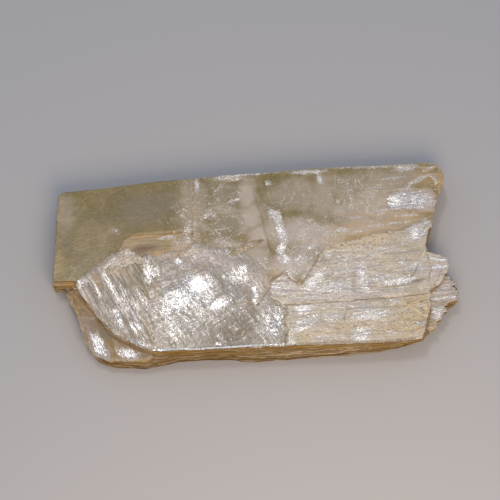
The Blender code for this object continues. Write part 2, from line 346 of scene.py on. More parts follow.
# The colours that all mica here shares: of its stains and lines, then of its layered edges.
ROSE_PEARL, GREEN_PEARL = (0.90, 0.83, 0.92), (0.89, 0.91, 0.79)
# The smoke colour on the next line darkens smoky windows, and in a few places paints a shadow.
SPECK, SMOKE_AND_SHADOW, CRACK_LINE = (0.70, 0.63, 0.54), (0.26, 0.215, 0.155), (0.21, 0.12, 0.055)
RISER_LINE, SCRIBBLE = (0.80, 0.66, 0.46), (0.88, 0.84, 0.76)
HAIRLINE, CREASE = (0.26, 0.19, 0.12), (0.22, 0.175, 0.13)
# The third colour on the next line is painted shade: the dark the layered edges turn towards the floor.
EDGE_DARK, EDGE_GOLD, EDGE_FOOT_SHADE = (0.085, 0.040, 0.004), (0.54, 0.295, 0.040), (0.075, 0.036, 0.004)
EDGE_PALE, EDGE_IRON = (0.80, 0.57, 0.20), (0.66, 0.43, 0.13)


def mica_finish(name, turn=0.0, drawn=3.0, scale=1.0, tilt=0.2, clear=(0.33, 0.255, 0.165),
                gap=(0.24, 0.195, 0.145), frosted=(0.95, 0.90, 0.85), haze=(0.70, 0.585, 0.51),
                iron=(0.66, 0.44, 0.21), rough=(0.22, 0.24), shine=0.5, gleam=0.5, coat=0.3, relief=0.4,
                veiled=0.6, lined=0.5, shingle=0.06, scribbled=0.5, haired=0.0, crinkled=0.0):
    """Mica seen on and between its sheets.

    Clear mica is olive, with cloudy veils and pale specks. Where silver rises the sheets have parted: more
    and more of the surface is frosted, dark at its gaps, in flakes that are each tilted their own way, and at
    its strongest they all lift together like shingles. Gold is iron stain, the smoke cover a darker window
    and in a few places a painted shadow, blush a pale haze, and split a crack. The riser of a cleavage step
    is a pale line, scribbles are pale scratches, hairs dark hairline splits, and crinkles dark creases. A
    steep face is a cut through many golden sheets, with painted shade that darkens it towards the floor.
    The patterns are drawn out by the ratio drawn along the direction turn, and scale is their size.
    """
    material = bpy.data.materials.new(name)
    material.use_nodes = True
    tree = material.node_tree
    shader = tree.nodes["Principled BSDF"]

    def mixed(a, b, share):
        a, b = ((*colour, 1.0) if isinstance(colour, tuple) else colour for colour in (a, b))
        return node(tree, "Mix", {0: share, 6: a, 7: b}, data_type="RGBA").outputs[2]

    def sums(operation, *values):
        return node(tree, "Math", dict(enumerate(values)), operation=operation).outputs[0]

    def times(a, b):
        return sums("MULTIPLY", a, b)

    def step_up(value, low, high, start=0.0, to=1.0):
        return node(tree, "MapRange", {"Value": value, "From Min": low, "From Max": high, "To Min": start,
                                       "To Max": to}, interpolation_type="SMOOTHSTEP").outputs[0]

    def cloud(place, size, detail=5.0, distortion=0.0, broken=0.6):
        return node(tree, "TexNoise", {"Vector": place, "Scale": size, "Detail": detail, "Roughness": broken,
                                       "Distortion": distortion}).outputs[0]

    def vector(operation, *values):
        inputs = {"Scale" if operation == "SCALE" and k == 1 else k: v for k, v in enumerate(values)}
        return node(tree, "VectorMath", inputs, operation=operation).outputs[0]

    def part(place, axis):
        return node(tree, "SeparateXYZ", {0: place}).outputs[axis]

    def chips(place, size):
        made = node(tree, "TexVoronoi", {"Vector": place, "Scale": size}, voronoi_dimensions="2D")
        return vector("SUBTRACT", made.outputs["Color"], (0.5, 0.5, 0.5))

    # Where things are: the stains, places in millimetres, the same drawn out, and how steep a face is.
    cover = {kind: node(tree, "Attribute", {}, attribute_name=kind).outputs["Fac"] for kind in STAIN_SEEDS}
    in_mm = vector("SCALE", node(tree, "TexCoord", {}).outputs["Object"], 1.0 / MM)
    along = node(tree, "VectorRotate", {"Vector": in_mm, "Angle": -math.radians(turn)},
                 rotation_type="Z_AXIS").outputs[0]
    drawn_out = vector("MULTIPLY", along, (1.0 / drawn / scale, 1.0 / scale, 0.5 / scale))
    normal = node(tree, "NewGeometry", {}).outputs["Normal"]
    upright = part(normal, 2)
    cut = step_up(sums("ABSOLUTE", upright), 0.8, 0.45)
    face = sums("SUBTRACT", 1.0, cut)

    # The patterns, each from 0 to 1: cloudy, wispy and frosted, then lines and creases.
    veil = step_up(cloud(in_mm, 0.16, 9.0, 1.0), 0.44, 0.68)
    tint = step_up(cloud(in_mm, 0.09, 4.0, 0.5), 0.40, 0.62)
    sheen = cloud(in_mm, 0.4, 3.0)
    speck = step_up(cloud(in_mm, 1.9, 3.0), 0.62, 0.70)
    wisp = step_up(cloud(drawn_out, 0.9, 7.0, 0.3, 0.7), 0.36, 0.64)
    crumpled = times(cloud(drawn_out, 2.0, 6.0, 0.3, 0.78), 0.8)
    parting = sums("MULTIPLY_ADD", cloud(drawn_out, 0.5, 3.0, 0.4), 0.2, crumpled)
    parted = sums("MULTIPLY_ADD", cover["smoke_and_shadow"], -0.5, cover["silver"])
    frost = step_up(sums("MULTIPLY_ADD", parted, 0.30, parting), 0.53, 0.82)
    pinhole = cloud(drawn_out, 3.0, 2.0, 0.0, 0.7)
    pinhole = step_up(sums("MULTIPLY_ADD", cover["silver"], 0.09, pinhole), 0.45, 0.65)
    shingled = step_up(cover["silver"], 0.85, 1.8)
    coarse, fine = chips(drawn_out, 1.3), chips(drawn_out, 3.6)
    contour = sums("FRACT", times(cloud(in_mm, 0.15, 4.0, 1.0), 16.0))
    contour = step_up(sums("ABSOLUTE", sums("SUBTRACT", contour, 0.5)), 0.16, 0.05)
    scribble = times(contour, step_up(cloud(in_mm, 0.45, 3.0), 0.42, 0.60))
    scribble = times(scribble, step_up(cover["silver"], 0.0, 0.5, 0.14, 1.6))
    hair = cloud(vector("MULTIPLY", along, (0.09, 1.3, 0.5)), 1.0, 3.0, 0.6)
    hair = times(step_up(sums("ABSOLUTE", sums("SUBTRACT", hair, 0.5)), 0.035, 0.008), haired)
    crinkle = step_up(cloud(vector("MULTIPLY", along, (1.4, 2.4, 1.0)), 1.0, 5.0, 0.8, 0.75), 0.50, 0.38)
    crinkle = times(crinkle, step_up(shingled, 0.0, 0.8, crinkled, 0.2 * crinkled))
    crinkle = times(crinkle, step_up(cover["gold"], 0.3, 1.0, 1.0, 2.4))

    # The face of a sheet, from the clear body up through its stains and frost to the finest lines.
    body = mixed(clear, (clear[0] * 0.86, clear[1] * 0.87, clear[2] * 0.72), tint)
    body = mixed(body, tuple(1.4 * c + 0.03 for c in clear), times(veil, veiled))
    body = mixed(body, SPECK, times(speck, 0.35))
    # The smoke cover darkens smoky windows, and in a few places it paints a shadow.
    body = mixed(body, SMOKE_AND_SHADOW, times(cover["smoke_and_shadow"], step_up(veil, 0.0, 1.0, 0.95, 0.5)))
    body = mixed(body, haze, times(cover["blush"], step_up(speck, 0.0, 1.0, 0.85, 0.5)))
    body = mixed(body, iron, times(cover["gold"], step_up(wisp, 0.0, 1.0, 0.9, 0.35)))
    pearl = mixed(frosted, ROSE_PEARL, step_up(sheen, 0.51, 0.63, 0.0, 0.6))
    pearl = mixed(pearl, GREEN_PEARL, step_up(sheen, 0.46, 0.36, 0.0, 0.5))
    body = mixed(body, mixed(gap, pearl, pinhole), times(frost, 0.92))
    riser = times(step_up(upright, 0.992, 0.970), step_up(wisp, 0.0, 1.0, 0.3, 1.0))
    riser = times(riser, step_up(cover["smoke_and_shadow"], 0.85, 1.1, 1.0, 0.0))
    body = mixed(body, RISER_LINE, times(riser, lined))
    body = mixed(body, SCRIBBLE, times(scribble, scribbled))
    body = mixed(body, HAIRLINE, hair)
    body = mixed(body, CREASE, crinkle)
    body = mixed(body, CRACK_LINE, times(cover["split"], 0.85))

    # A cut through many sheets: dark and golden stripes, with painted shade that darkens them towards the
    # foot of the book.
    stripe = cloud(vector("MULTIPLY", in_mm, (0.05, 0.05, 5.0)), 1.0, 6.0, 0.0, 0.7)
    side = mixed(EDGE_DARK, EDGE_GOLD, step_up(stripe, 0.40, 0.60))
    pale_line = step_up(cloud(vector("MULTIPLY", in_mm, (0.09, 0.09, 9.0)), 1.0), 0.62, 0.72, 0.0, 0.5)
    side = mixed(side, EDGE_PALE, pale_line)
    side = mixed(side, EDGE_IRON, times(cover["gold"], 0.7))
    # Painted shade: below 4.5 mm the edge darkens towards the floor, where the book shades its own foot.
    side = mixed(side, EDGE_FOOT_SHADE, step_up(part(in_mm, 2), 4.5, 1.0, 0.0, 0.68))

    # Flakes lean their own way, or all together where they are shingled, and fine relief is bumped on them.
    loose = times(sums("MULTIPLY_ADD", frost, tilt, 0.015), step_up(shingled, 0.0, 0.8, 1.0, 0.35))
    shingles = vector("SCALE", (-shingle, -shingle, 0.0), times(shingled, frost))
    lean = vector("ADD", vector("SCALE", vector("ADD", coarse, fine), loose), shingles)
    tipped = vector("NORMALIZE", vector("ADD", normal, vector("SCALE", lean, face)))
    height = sums("ADD", wisp, times(stripe, times(cut, 4.0)))
    bump = node(tree, "Bump", {"Height": height, "Strength": relief, "Distance": BUMP_DEPTH,
                               "Normal": tipped}).outputs[0]
    dull = sums("MULTIPLY_ADD", part(coarse, 0), 0.12, step_up(frost, 0.0, 1.0, *rough))

    for socket, value in (("Base Color", mixed(body, side, cut)), ("Normal", bump),
                          ("Roughness", sums("MULTIPLY_ADD", cut, 0.2, dull)),
                          ("Metallic", times(times(frost, pinhole), times(face, gleam))),
                          ("Coat Weight", times(face, coat))):
        tree.links.new(value, shader.inputs[socket])
    shader.inputs["IOR"].default_value = MICA_IOR
    shader.inputs["Specular IOR Level"].default_value = shine
    shader.inputs["Coat Roughness"].default_value = COAT_ROUGHNESS
    return material


def blend(low, high, share):
    """A run of outline points, part of the way from its low to its high version."""
    return [(ax + (bx - ax) * share, ay + (by - ay) * share) for (ax, ay), (bx, by) in zip(low, high)]


def whole_outline(share):
    """The whole book's outline, part of the way from its foot to its upper packets."""
    return (blend(LEFT_LOW, LEFT_HIGH, share) + blend(FRONT_LOW, FRONT_HIGH, share)
            + blend(RIGHT_LOW, RIGHT_HIGH, share) + BACK)


packet_finish = mica_finish("packet_mica", turn=20, drawn=3, scale=0.5, tilt=0.16, coat=0.1, gleam=0.6,
                            clear=(0.31, 0.215, 0.12), shine=0.2)
# Each packet is (name, floor, roof, how far its outline has moved to the high runs, depth of tear, grid).
PACKETS = [("foot_packet", 0.0, 0.95, 0.0, 0.22, 0.45), ("low_packet", 0.85, 2.05, 0.10, 0.30, 0.45),
           ("thick_packet", 1.95, 3.55, 0.04, 0.22, 0.45), ("step_packet", 3.45, 4.55, 0.62, 0.30, 0.4),
           ("ledge_packet", 4.4, 5.1, 0.90, 0.12, 0.4), ("ribbon_packet", 5.0, 5.8, 0.94, 0.12, 0.4),
           ("upper_packet", 5.7, 6.5, 0.98, 0.12, 0.38)]
LAYER_HEIGHT = 0.09  # of one visible layer of an edge
PACKET_STAINS = {"gold": [(-44, -4, 5, 3, 1.3), (-41, -9, 4, 9, -60, 0.7), (42, -8, 4, 8, 60, 0.3)]}
for order, (name, floor, height, share, tear, step) in enumerate(PACKETS):
    def packet_roof(x, y, depth, height=height):
        return height - worn_rim(depth, 0.4, 0.05) + 0.03 * fractal(x / 4, y / 3, 70)

    plate = sheet(whole_outline(share), packet_roof, floor=floor, step=step, tear=tear, seed=10 + 7 * order,
                  tear_grain=(0, 7, 1.4), layers=round((height - floor) / LAYER_HEIGHT), layer_depth=0.16)
    make_piece(name, [plate], packet_finish, PACKET_STAINS)

# ---------------------------------------------------------------------------------------------------------
# The corner terrace. Where the upper packets broke away, a lower sheet lies bare. It sags towards the corner
# and has parted into two silver blisters with golden borders.

TERRACE = [
    (-43.4, -4.2), (-42.2, -7.4), (-41, -9.8), (-40.4, -13), (-39.4, -17), (-37.6, -19.8), (-33.8, -21.4),
    (-26, -22.2), (-24, -21.4), (-26, -18.6), (-31, -15), (-35, -9), (-37.5, -5), (-40.5, -3.2)]
TERRACE_LEVEL = 4.62  # the height of its roof, under its relief


def swell(x, y, bulges):
    """Low domes that fall off like a bell: each is (x, y, half length, half width, turn in degrees if it has
    one, height)."""
    height = np.zeros(np.shape(x))
    for bx, by, length, width, *turn, top in bulges:
        along, across = turned(x - bx, y - by, *turn)
        u, v = along / length, across / width
        height = height + top * np.exp(-(u * u + v * v))
    return height


def terrace_roof(x, y, depth):
    """Sloping down to the corner, with a ridge between the two blisters and fine wrinkles down the slope. Its
    upper end is a broken, ridged bank."""
    slope = TERRACE_LEVEL + 0.085 * (x + y + 52) * ease(-y, 11, 15) + 0.01 * (y + 16)
    ridge = swell(x, y, [(-33.2, -18.6, 4, 1.1, 100, 0.10)])
    broken = 0.14 * ease(y, -11.5, -8.5) * grain(x, y, -55, 2, 0.6, 74)
    return slope + ridge + broken + 0.012 * grain(x, y, 112, 2.5, 0.5, 73) - worn_rim(depth, 0.7, 0.2)


terrace_finish = mica_finish("terrace_mica", turn=112, drawn=3, scale=0.36, tilt=0.06, coat=0.1, relief=0.1,
                             clear=(0.34, 0.24, 0.14), haze=(0.40, 0.30, 0.23), iron=(0.375, 0.22, 0.055),
                             frosted=(0.97, 0.96, 0.98), rough=(0.42, 0.27), shine=0.25, gleam=0.9,
                             veiled=0.3, shingle=0.0, scribbled=0.1, haired=0.6, crinkled=0.35)
make_piece("corner_terrace", [sheet(TERRACE, terrace_roof, floor=3.3, step=0.15, tear=0.2, layers=12,
                                    layer_depth=0.15, seed=15)], terrace_finish, {
    "silver": [
        (-36.2, -18.2, 4.4, 1.7, 114, 1.05), (-29.8, -20.2, 3.2, 1.5, -26, 1),
        (-36.6, -14.6, 1.6, 0.7, 100, 0.6)],
    "gold": [
        (-33.2, -19, 0.5, 3, 6, 0.9), (-41, -6.6, 2, 3.8, 30, 1.15), (-32.2, -17.6, 0.5, 1.6, -20, 0.7),
        (-34.5, -22.2, 7, 0.7, -4, 0.8), (-27, -21.6, 3, 0.8, -10, 0.7)],
    "blush": [(-38.6, -11.5, 1.8, 3.4, 20, 0.9)],
    "smoke_and_shadow": [(-33.6, -15.8, 4, 0.6, -30, 0.9)]},
           streak=(112, 2, 0.6), ragged=0.25)

# ---------------------------------------------------------------------------------------------------------
# The back sheet. The uppermost sheet of the back half is whole from end to end. To the left it is sound mica,
# olive and smooth. Past a crack it is veiled, then there are a beige strip and a dark window, and it is ruled
# with fine splits towards the right end, where iron has stained it.

BACK_SHEET = [
    (-44.4, 19.8), (-46, -2), (-40.5, -2.5), (-38, 0), (-35, 2), (-32.4, 3.6), (-30.6, 5.2), (-29.6, 7.2),
    (-27.6, 8.2), (-21, 8), (-15, 8.2), (-13.6, 6.2), (-11, 1.8), (-5.5, -1.4), (-0.5, -4.6), (2.9, -6.3),
    (4.9, -4.8), (7.1, -3.4), (8.2, -5.6), (10.4, -7.4), (13, -3.5), (14.9, -0.7), (17.2, 2.4), (20, 2.6),
    (25, 3.6), (33.5, 4.4), (38, 5.5), (42, 5), (43.4, 10.5), (44.2, 12.8), (45.6, 16), (46.2, 19),
    (44.8, 21.4), (40, 22.1), (32, 22.3), (20, 22.5), (4, 22.3), (-5, 22.2), (-13, 21.9), (-24, 21.6),
    (-34.5, 20.9), (-43.2, 20.5)]
BACK_LEVEL = 7.07


def past_centre_line(x, y):
    """How far a point lies behind the slanting line along which the back sheet meets the bright sheet."""
    return (y - 5.0 + 0.571 * (x + 14.0)) / 1.152


def back_roof(x, y, depth):
    """Flat, with broad waves. Left of the crack it is rippled, right of it stepped and wrinkled, and at its
    right end ruled along X. The tongue in front is creased across, and beside the strip runs a crumpled band.
    It dips under the bright sheet in front of the centre line, and thins to its torn front on the right."""
    height = BACK_LEVEL + 0.02 * value_noise(x / 7, y / 6, 80)
    height += 0.02 * ease(x, -20.5, -17) * ease(-x, 13, 14) * grain(x, y, 62, 3, 0.55, 81, 3)
    bent = x + 1.6 * fractal(x / 5, y / 4, 82)
    bent = bent + 3 * ease(x, -14, -12.5) * fractal(x / 4, y / 3, 89)
    height += 0.34 * (stairs(0.14 * bent, 7) - 0.14 * bent) * ease(x, -20.5, -18) * ease(-x, 1.5, 3)
    wrinkled = ease(x, -13.6, -12.8) * ease(2 - x, 0, 2)
    height += 0.03 * wrinkled * grain(x, y, 50, 2.4, 0.6, 83)
    from_crack = x + 13.3 + 0.25 * fractal(y / 3, 0 * y, 87)
    height -= 0.05 * np.exp(-(from_crack / 0.16) ** 2) * ease(y, 6, 9)
    ruled = ease(x, 16, 34)
    height += ruled * (0.05 * grain(x, y, -2, 7, 0.6, 85) + 0.012 * grain(x, y, 3, 4, 0.2, 84, 2))
    height += 0.01 * fractal(x / 2.5, y / 2.5, 86)
    creased = 0.05 * ease(x, 3, 5) * ease(19 - x, 0, 3) * ease(7 - y, 0, 5)
    height += creased * grain(x, y, 55, 2.2, 0.8, 79)
    height += 0.03 * ease(x, 1.6, 2.6) * ease(8.5 - x, 0, 3) * grain(x, y, -80, 2, 0.5, 88)
    thin = 0.12 * ease(x, 14, 20) * ease(8 - y, 0, 7)
    under = 0.3 * ease(-past_centre_line(x, y), 0, 1.5) * ease(x, -15.5, -13.5) * ease(5 - x, 0, 1.5)
    return height - thin - under - worn_rim(depth, 0.3, 0.05) * ease(x, 0, 3)


clear_finish = mica_finish("clear_mica", turn=8, drawn=2.2, scale=0.45, tilt=0.12, coat=0.25, relief=0.12,
                           gleam=0.35, clear=(0.262, 0.189, 0.060), gap=(0.37, 0.31, 0.23), veiled=0.4,
                           haze=(0.68, 0.565, 0.475), lined=0.6, scribbled=0.65, shine=0.4)
back_stains = {
    "silver": [
        (-41.5, 1.5, 2.4, 2.4, 40, 0.15), (-16, 13, 3, 9, -8, 0.18), (-31.5, 9.6, 1.6, 1, -50, 0.45),
        (-7.5, 13, 6, 10, 0.24), (11, 15, 7, 6, 0.22), (-11.8, 19.8, 0.7, 2, 0.9),
        (-3.6, 15.4, 2.2, 0.4, 15, 0.95), (-9.5, 12, 2.4, 1.4, -15, 0.5), (-13, 9, 1.2, 4, 10, 0.4),
        (-6, 5, 4, 1.6, -10, 0.45), (-1, 22.2, 9, 0.4, 0.9), (-5, 21.6, 4, 1, 0.6),
        (12.8, -3.6, 2.6, 1, 48, 0.85), (8, -3.6, 3, 1.4, -10, 0.7), (-14.6, 8.8, 1, 1.4, 0.7),
        (2, -1.5, 2.4, 2.2, -40, 0.5), (15, 21.8, 4.6, 0.7, -3, 0.9), (17.2, 19.8, 0.8, 1.4, 0.9),
        (5, 19.4, 0.8, 0.9, 0.8), (7, -0.6, 1.6, 1.4, 0.8), (11, -0.8, 2, 1.4, 10, 0.85),
        (14, 2.6, 1.6, 1.2, 30, 0.8), (13, 4, 9, 7, -10, 0.4), (29, 22, 12, 0.5, -3, 0.7),
        (21.4, 6, 1.7, 0.8, 0.9), (38, 21.2, 3.6, 1, 6, 0.8), (39.8, 17.4, 3.8, 0.6, 24, 0.8),
        (37, 15.4, 3, 0.5, 0.8), (27, 14, 10, 8, 0.33), (37, 8.6, 3, 0.4, 0.7),
        (41.2, 6, 1.2, 1.6, 20, 0.9), (31, 10.4, 2.6, 0.3, 5, 0.8), (30, 16.4, 3, 0.3, 0.7),
        (30, 6.6, 6, 0.4, 4, 0.6), (24, 5.2, 4, 0.4, 6, 0.6), (36, 7, 4, 0.4, 4, 0.55),
        (25, 9, 2.4, 0.4, 0.7), (34, 18.6, 3, 0.4, 3, 0.8), (38.8, 5.6, 2.4, 0.9, 0.95)]
    + runs([(5, 12.6), (7, 9.2), (7.3, 4), (6.4, 0.7), (8.3, -2)], 1.25, 1.16)
    + runs([(-8.1, 17.3), (-6.5, 19.2), (-3.2, 19.3), (-1.5, 16.8), (-3, 14.8), (-6.6, 14.8),
            (-8.1, 17.3)], 0.35, 0.48)
    + runs([(-8.6, 9.1), (-6.8, 11.4), (-3, 11.5), (-1.4, 8.5), (-3, 6.2), (-7, 6.4),
            (-8.6, 9.1)], 0.35, 0.48),
    "gold": [
        (27, 12, 7, 0.5, -2, 0.5), (31, 9.4, 8, 0.6, 0.7), (26, 7.2, 8, 0.8, 4, 0.6),
        (29, 14.6, 6, 0.3, 0.6), (24, 10, 4, 0.3, 0.6), (36.5, 8.2, 6, 1.2, 2, 1), (-44.8, 14, 1.2, 9, 0.2),
        (-44.8, 3, 1.6, 4, 0.35), (-36, 9, 5, 3, 20, 0.2), (-22, 8.4, 7, 0.4, 1, 0.7),
        (-13.8, 7.2, 1, 1.2, 0.5), (31, 6.8, 9, 1.8, 6, 0.62), (36.5, 7.6, 3, 1.6, 10, 0.8),
        (42.4, 18, 3, 3.4, 30, 0.6), (45.6, 17.5, 1.2, 4, -10, 1), (23, 4.4, 7, 1.4, 8, 0.8),
        (29, 5.4, 8, 0.5, 4, 0.8), (20, 3.4, 3, 0.4, 10, 0.7), (31, 13, 6, 5, 0.2),
        (4.6, -3.6, 2, 0.6, 40, 0.7), (12.9, -4.4, 2.6, 0.3, 45, 1), (15.3, -0.8, 2.2, 0.3, 72, 1),
        (7.4, -5, 2.2, 0.3, -25, 1), (-12.8, 14, 0.5, 8, 0.35)],
    "smoke_and_shadow": [
        (-24, 15, 7.5, 5, 10, 0.6), (-5, 8.8, 3.2, 2.5, 0.5), (-4.8, 17.1, 2.9, 2.2, 0.35),
        (12, 15.5, 6.5, 3.6, -10, 0.2), (-34, 12, 8, 4, 10, 0.3), (-43, 6.5, 1.5, 2.5, 0.4)],
    "blush": [
        (-0.2, 16.5, 2.2, 6, 0.85), (0.3, 11, 3, 5, 0.9), (1.6, 6, 3, 3.6, 0.9),
        (1.4, 0.5, 4, 3, -30, 0.75), (14, 5.5, 9, 4.5, -10, 0.9), (17.5, 15, 3, 6, -10, 0.6),
        (29, 11, 12, 6, 0.8), (25, 17, 8, 4, 0.4), (-13.2, 13.8, 3.6, 8.5, -4, 0.5), (-38, 3, 5, 4, 0.1),
        (-43, 15, 2.4, 5, 0.35), (9, -2, 7, 4, 1), (34, 7, 9, 3, 0.4), (28, 6.2, 9, 2.2, 4, 0.85),
        (34, 18.5, 8, 3, 0.5), (-6, 13.1, 6, 1.3, -3, 0.55), (-5, 21.6, 6, 1, 0.4),
        (-5.5, 4.2, 6, 1.5, -10, 0.5), (-5, 13, 5.5, 9, 0.27), (3.4, 11, 1.4, 4, 0.4),
        (11, 16, 7, 4.5, 0.48), (5.6, 7, 2.4, 6, 4, 0.8)],
    "split": runs([(-12.5, 21.6), (-12.7, 19), (-13.1, 13.7), (-13.6, 7.6)], 0.2, 0.4)
    + runs([(1.4, 17), (2.6, 11.2), (3.4, 6), (4.7, -1)], 0.25, 0.4)
    + runs([(2.9, -6.2), (4.9, -4.7), (7.1, -3.3), (8.2, -5.5), (10.4, -7.2), (13, -3.4),
            (14.9, -0.6)], 0.22, 0.5)
    + [(-13.6, 7.5, 0.35, 0.25, 1.3)]}
make_piece("back_sheet", [sheet(BACK_SHEET, back_roof, floor=6.35, step=0.17, tear=0.12, layers=8,
                                layer_depth=0.08, seed=21)], clear_finish, back_stains, ragged=0.3)

# ---------------------------------------------------------------------------------------------------------
# The recess. In front of the torn edge of the back sheet a lower sheet shows, red brown in a lens to the left
# and crumpled to the right, ruled along its length by the ends of thinner sheets.

RECESS = [
    (-33, 3), (-32, 6.5), (-30, 9.6), (-21, 9.6), (-12.6, 9.4), (-11, 4), (-16, 2), (-21, 0.4), (-27, 0.6),
    (-31, 1.6)]
RECESS_LEVEL = 6.86


def recess_roof(x, y, depth):
    """Rising towards the back in fine steps along X, hollow in the lens, crumpled at the right end."""
    crumpled = 0.05 * ease(x, -20, -15) * grain(x, y, 60, 2, 0.6, 72)
    steps = 0.02 * grain(x, y, -2, 6, 0.5, 71) + crumpled
    steps = steps + 0.3 * (stairs(0.12 * y + 0.05 * fractal(x / 5, y / 5, 73), 9) - 0.12 * y)
    return RECESS_LEVEL + 0.01 * (y - 6) + steps - swell(x, y, [(-25, 5.2, 3.2, 1.5, 0.25)])


recess_finish = mica_finish("recess_mica", turn=-2, drawn=4, scale=0.4, tilt=0.12, coat=0.05, relief=0.4,
                            rough=(0.45, 0.24), clear=(0.48, 0.345, 0.205), haze=(0.27, 0.17, 0.10),
                            gap=(0.32, 0.24, 0.17), frosted=(0.78, 0.72, 0.66), gleam=0.3, lined=0.4,
                            shine=0.35)
make_piece("recess_sheet", [sheet(RECESS, recess_roof, floor=6.3, step=0.16, tear=0.2, layers=4,
                                  layer_depth=0.08, seed=29)], recess_finish, {
    "silver": [(-16, 5.8, 3.4, 2.4, 10, 0.55), (-14.6, 6.6, 0.8, 1.8, 10, 1), (-19.6, 7.2, 2, 0.5, 5, 0.9)],
    "gold": [
        (-24, 7.8, 6.5, 0.4, 2, 0.9), (-17, 4.2, 2, 0.6, 0.9), (-21, 3.4, 3, 0.6, 10, 0.6),
        (-14.4, 5, 0.8, 0.8, 0.9)],
    "smoke_and_shadow": [(-24.4, 5, 2.6, 1, 0.5)],
    "blush": [(-24.9, 5, 3, 1.4, 1.1), (-25, 7.4, 4, 0.3, 3, 0.8)]},
           ragged=0.25)

# ---------------------------------------------------------------------------------------------------------
# The bright sheet. In front of the centre the uppermost sheets have parted and crumpled like foil, and the
# air between them makes them silver.

BRIGHT_SHEET = [
    (-23.4, 1.8), (-24.4, -5), (-25.2, -8.5), (-24.8, -14.5), (-23, -20.9), (-9, -21.2), (5.5, -21.8),
    (6.3, -18), (5.7, -15.6), (6.8, -13.4), (5.2, -11), (3.2, -9.6), (3.4, -5), (2.4, -2.4), (0.8, -0.2),
    (-1.6, 1.6), (-4.2, 2.6), (-6.4, 3.2), (-9.4, 3.8), (-12, 5.4), (-16, 3.8), (-20, 3.2)]
BRIGHT_LEVEL, MEETING_LEVEL = 6.86, 7.10  # and where it lies on the back sheet


def facets(x, y, seed):
    """Flat chips, each tilted its own way: the nearest of one random point per unit square owns a place, and
    the height there is its slope times the way from it. Values lie within about 1 of 0."""
    lattice = np.random.default_rng(seed).uniform(0, 1, (4, LATTICE, LATTICE))
    column, row = np.floor(x).astype(int), np.floor(y).astype(int)
    nearest, height = np.full(np.shape(x), 9.0), np.zeros(np.shape(x))
    for across in (-1, 0, 1):
        for up in (-1, 0, 1):
            at = (column + across) % LATTICE, (row + up) % LATTICE
            dx = x - column - across - lattice[0][at]
            dy = y - row - up - lattice[1][at]
            apart = np.hypot(dx, dy)
            here = (lattice[2][at] - 0.5) * dx + (lattice[3][at] - 0.5) * dy
            height = np.where(apart < nearest, here, height)
            nearest = np.minimum(nearest, apart)
    return 2.0 * height


# The bulges lie behind and to the right of the whitest places, which are their front left flanks.
BRIGHT_BULGES = [
    (-11, -2.8, 3, 3, 35, 0.34), (-6.4, -8.6, 3.4, 2.4, 15, 0.30), (-16.6, -7, 3.2, 3.6, 30, 0.30),
    (-19, -13, 2, 7, 20, 0.12), (1.8, -8, 1.4, 4, 0.10), (-1, -2, 2.4, 2.4, 0.12)]


def bright_roof(x, y, depth):
    """Bulges and long soft folds, with fine chips on them, and a lens-shaped hollow that goes down in steps.
    It lies on the back sheet where they meet."""
    bent_x, bent_y = x + 0.8 * fractal(x / 5, y / 5, 93), y + 0.8 * fractal(x / 5, y / 5, 94)
    folds = 0.035 * grain(bent_x, bent_y, -62, 5, 1, 90) + 0.04 * grain(bent_x, bent_y, 24, 5, 1.3, 92)
    chips = 0.012 * facets(bent_x / 0.9, bent_y / 0.7 + bent_x / 4, 91)
    hollow = 0.36 * stairs(swell(bent_x, bent_y, [(-5, -17.2, 9, 3.8, 27, 1)]), 9)
    crumpled = BRIGHT_LEVEL + swell(x, y, BRIGHT_BULGES) + folds + chips - hollow
    meeting = ease(past_centre_line(x, y), -5, 0.5) * ease(x, -16.5, -13.5)
    lying_on = MEETING_LEVEL + 0.4 * folds + chips
    return crumpled + (lying_on - crumpled) * meeting - worn_rim(depth, 0.35, 0.03)


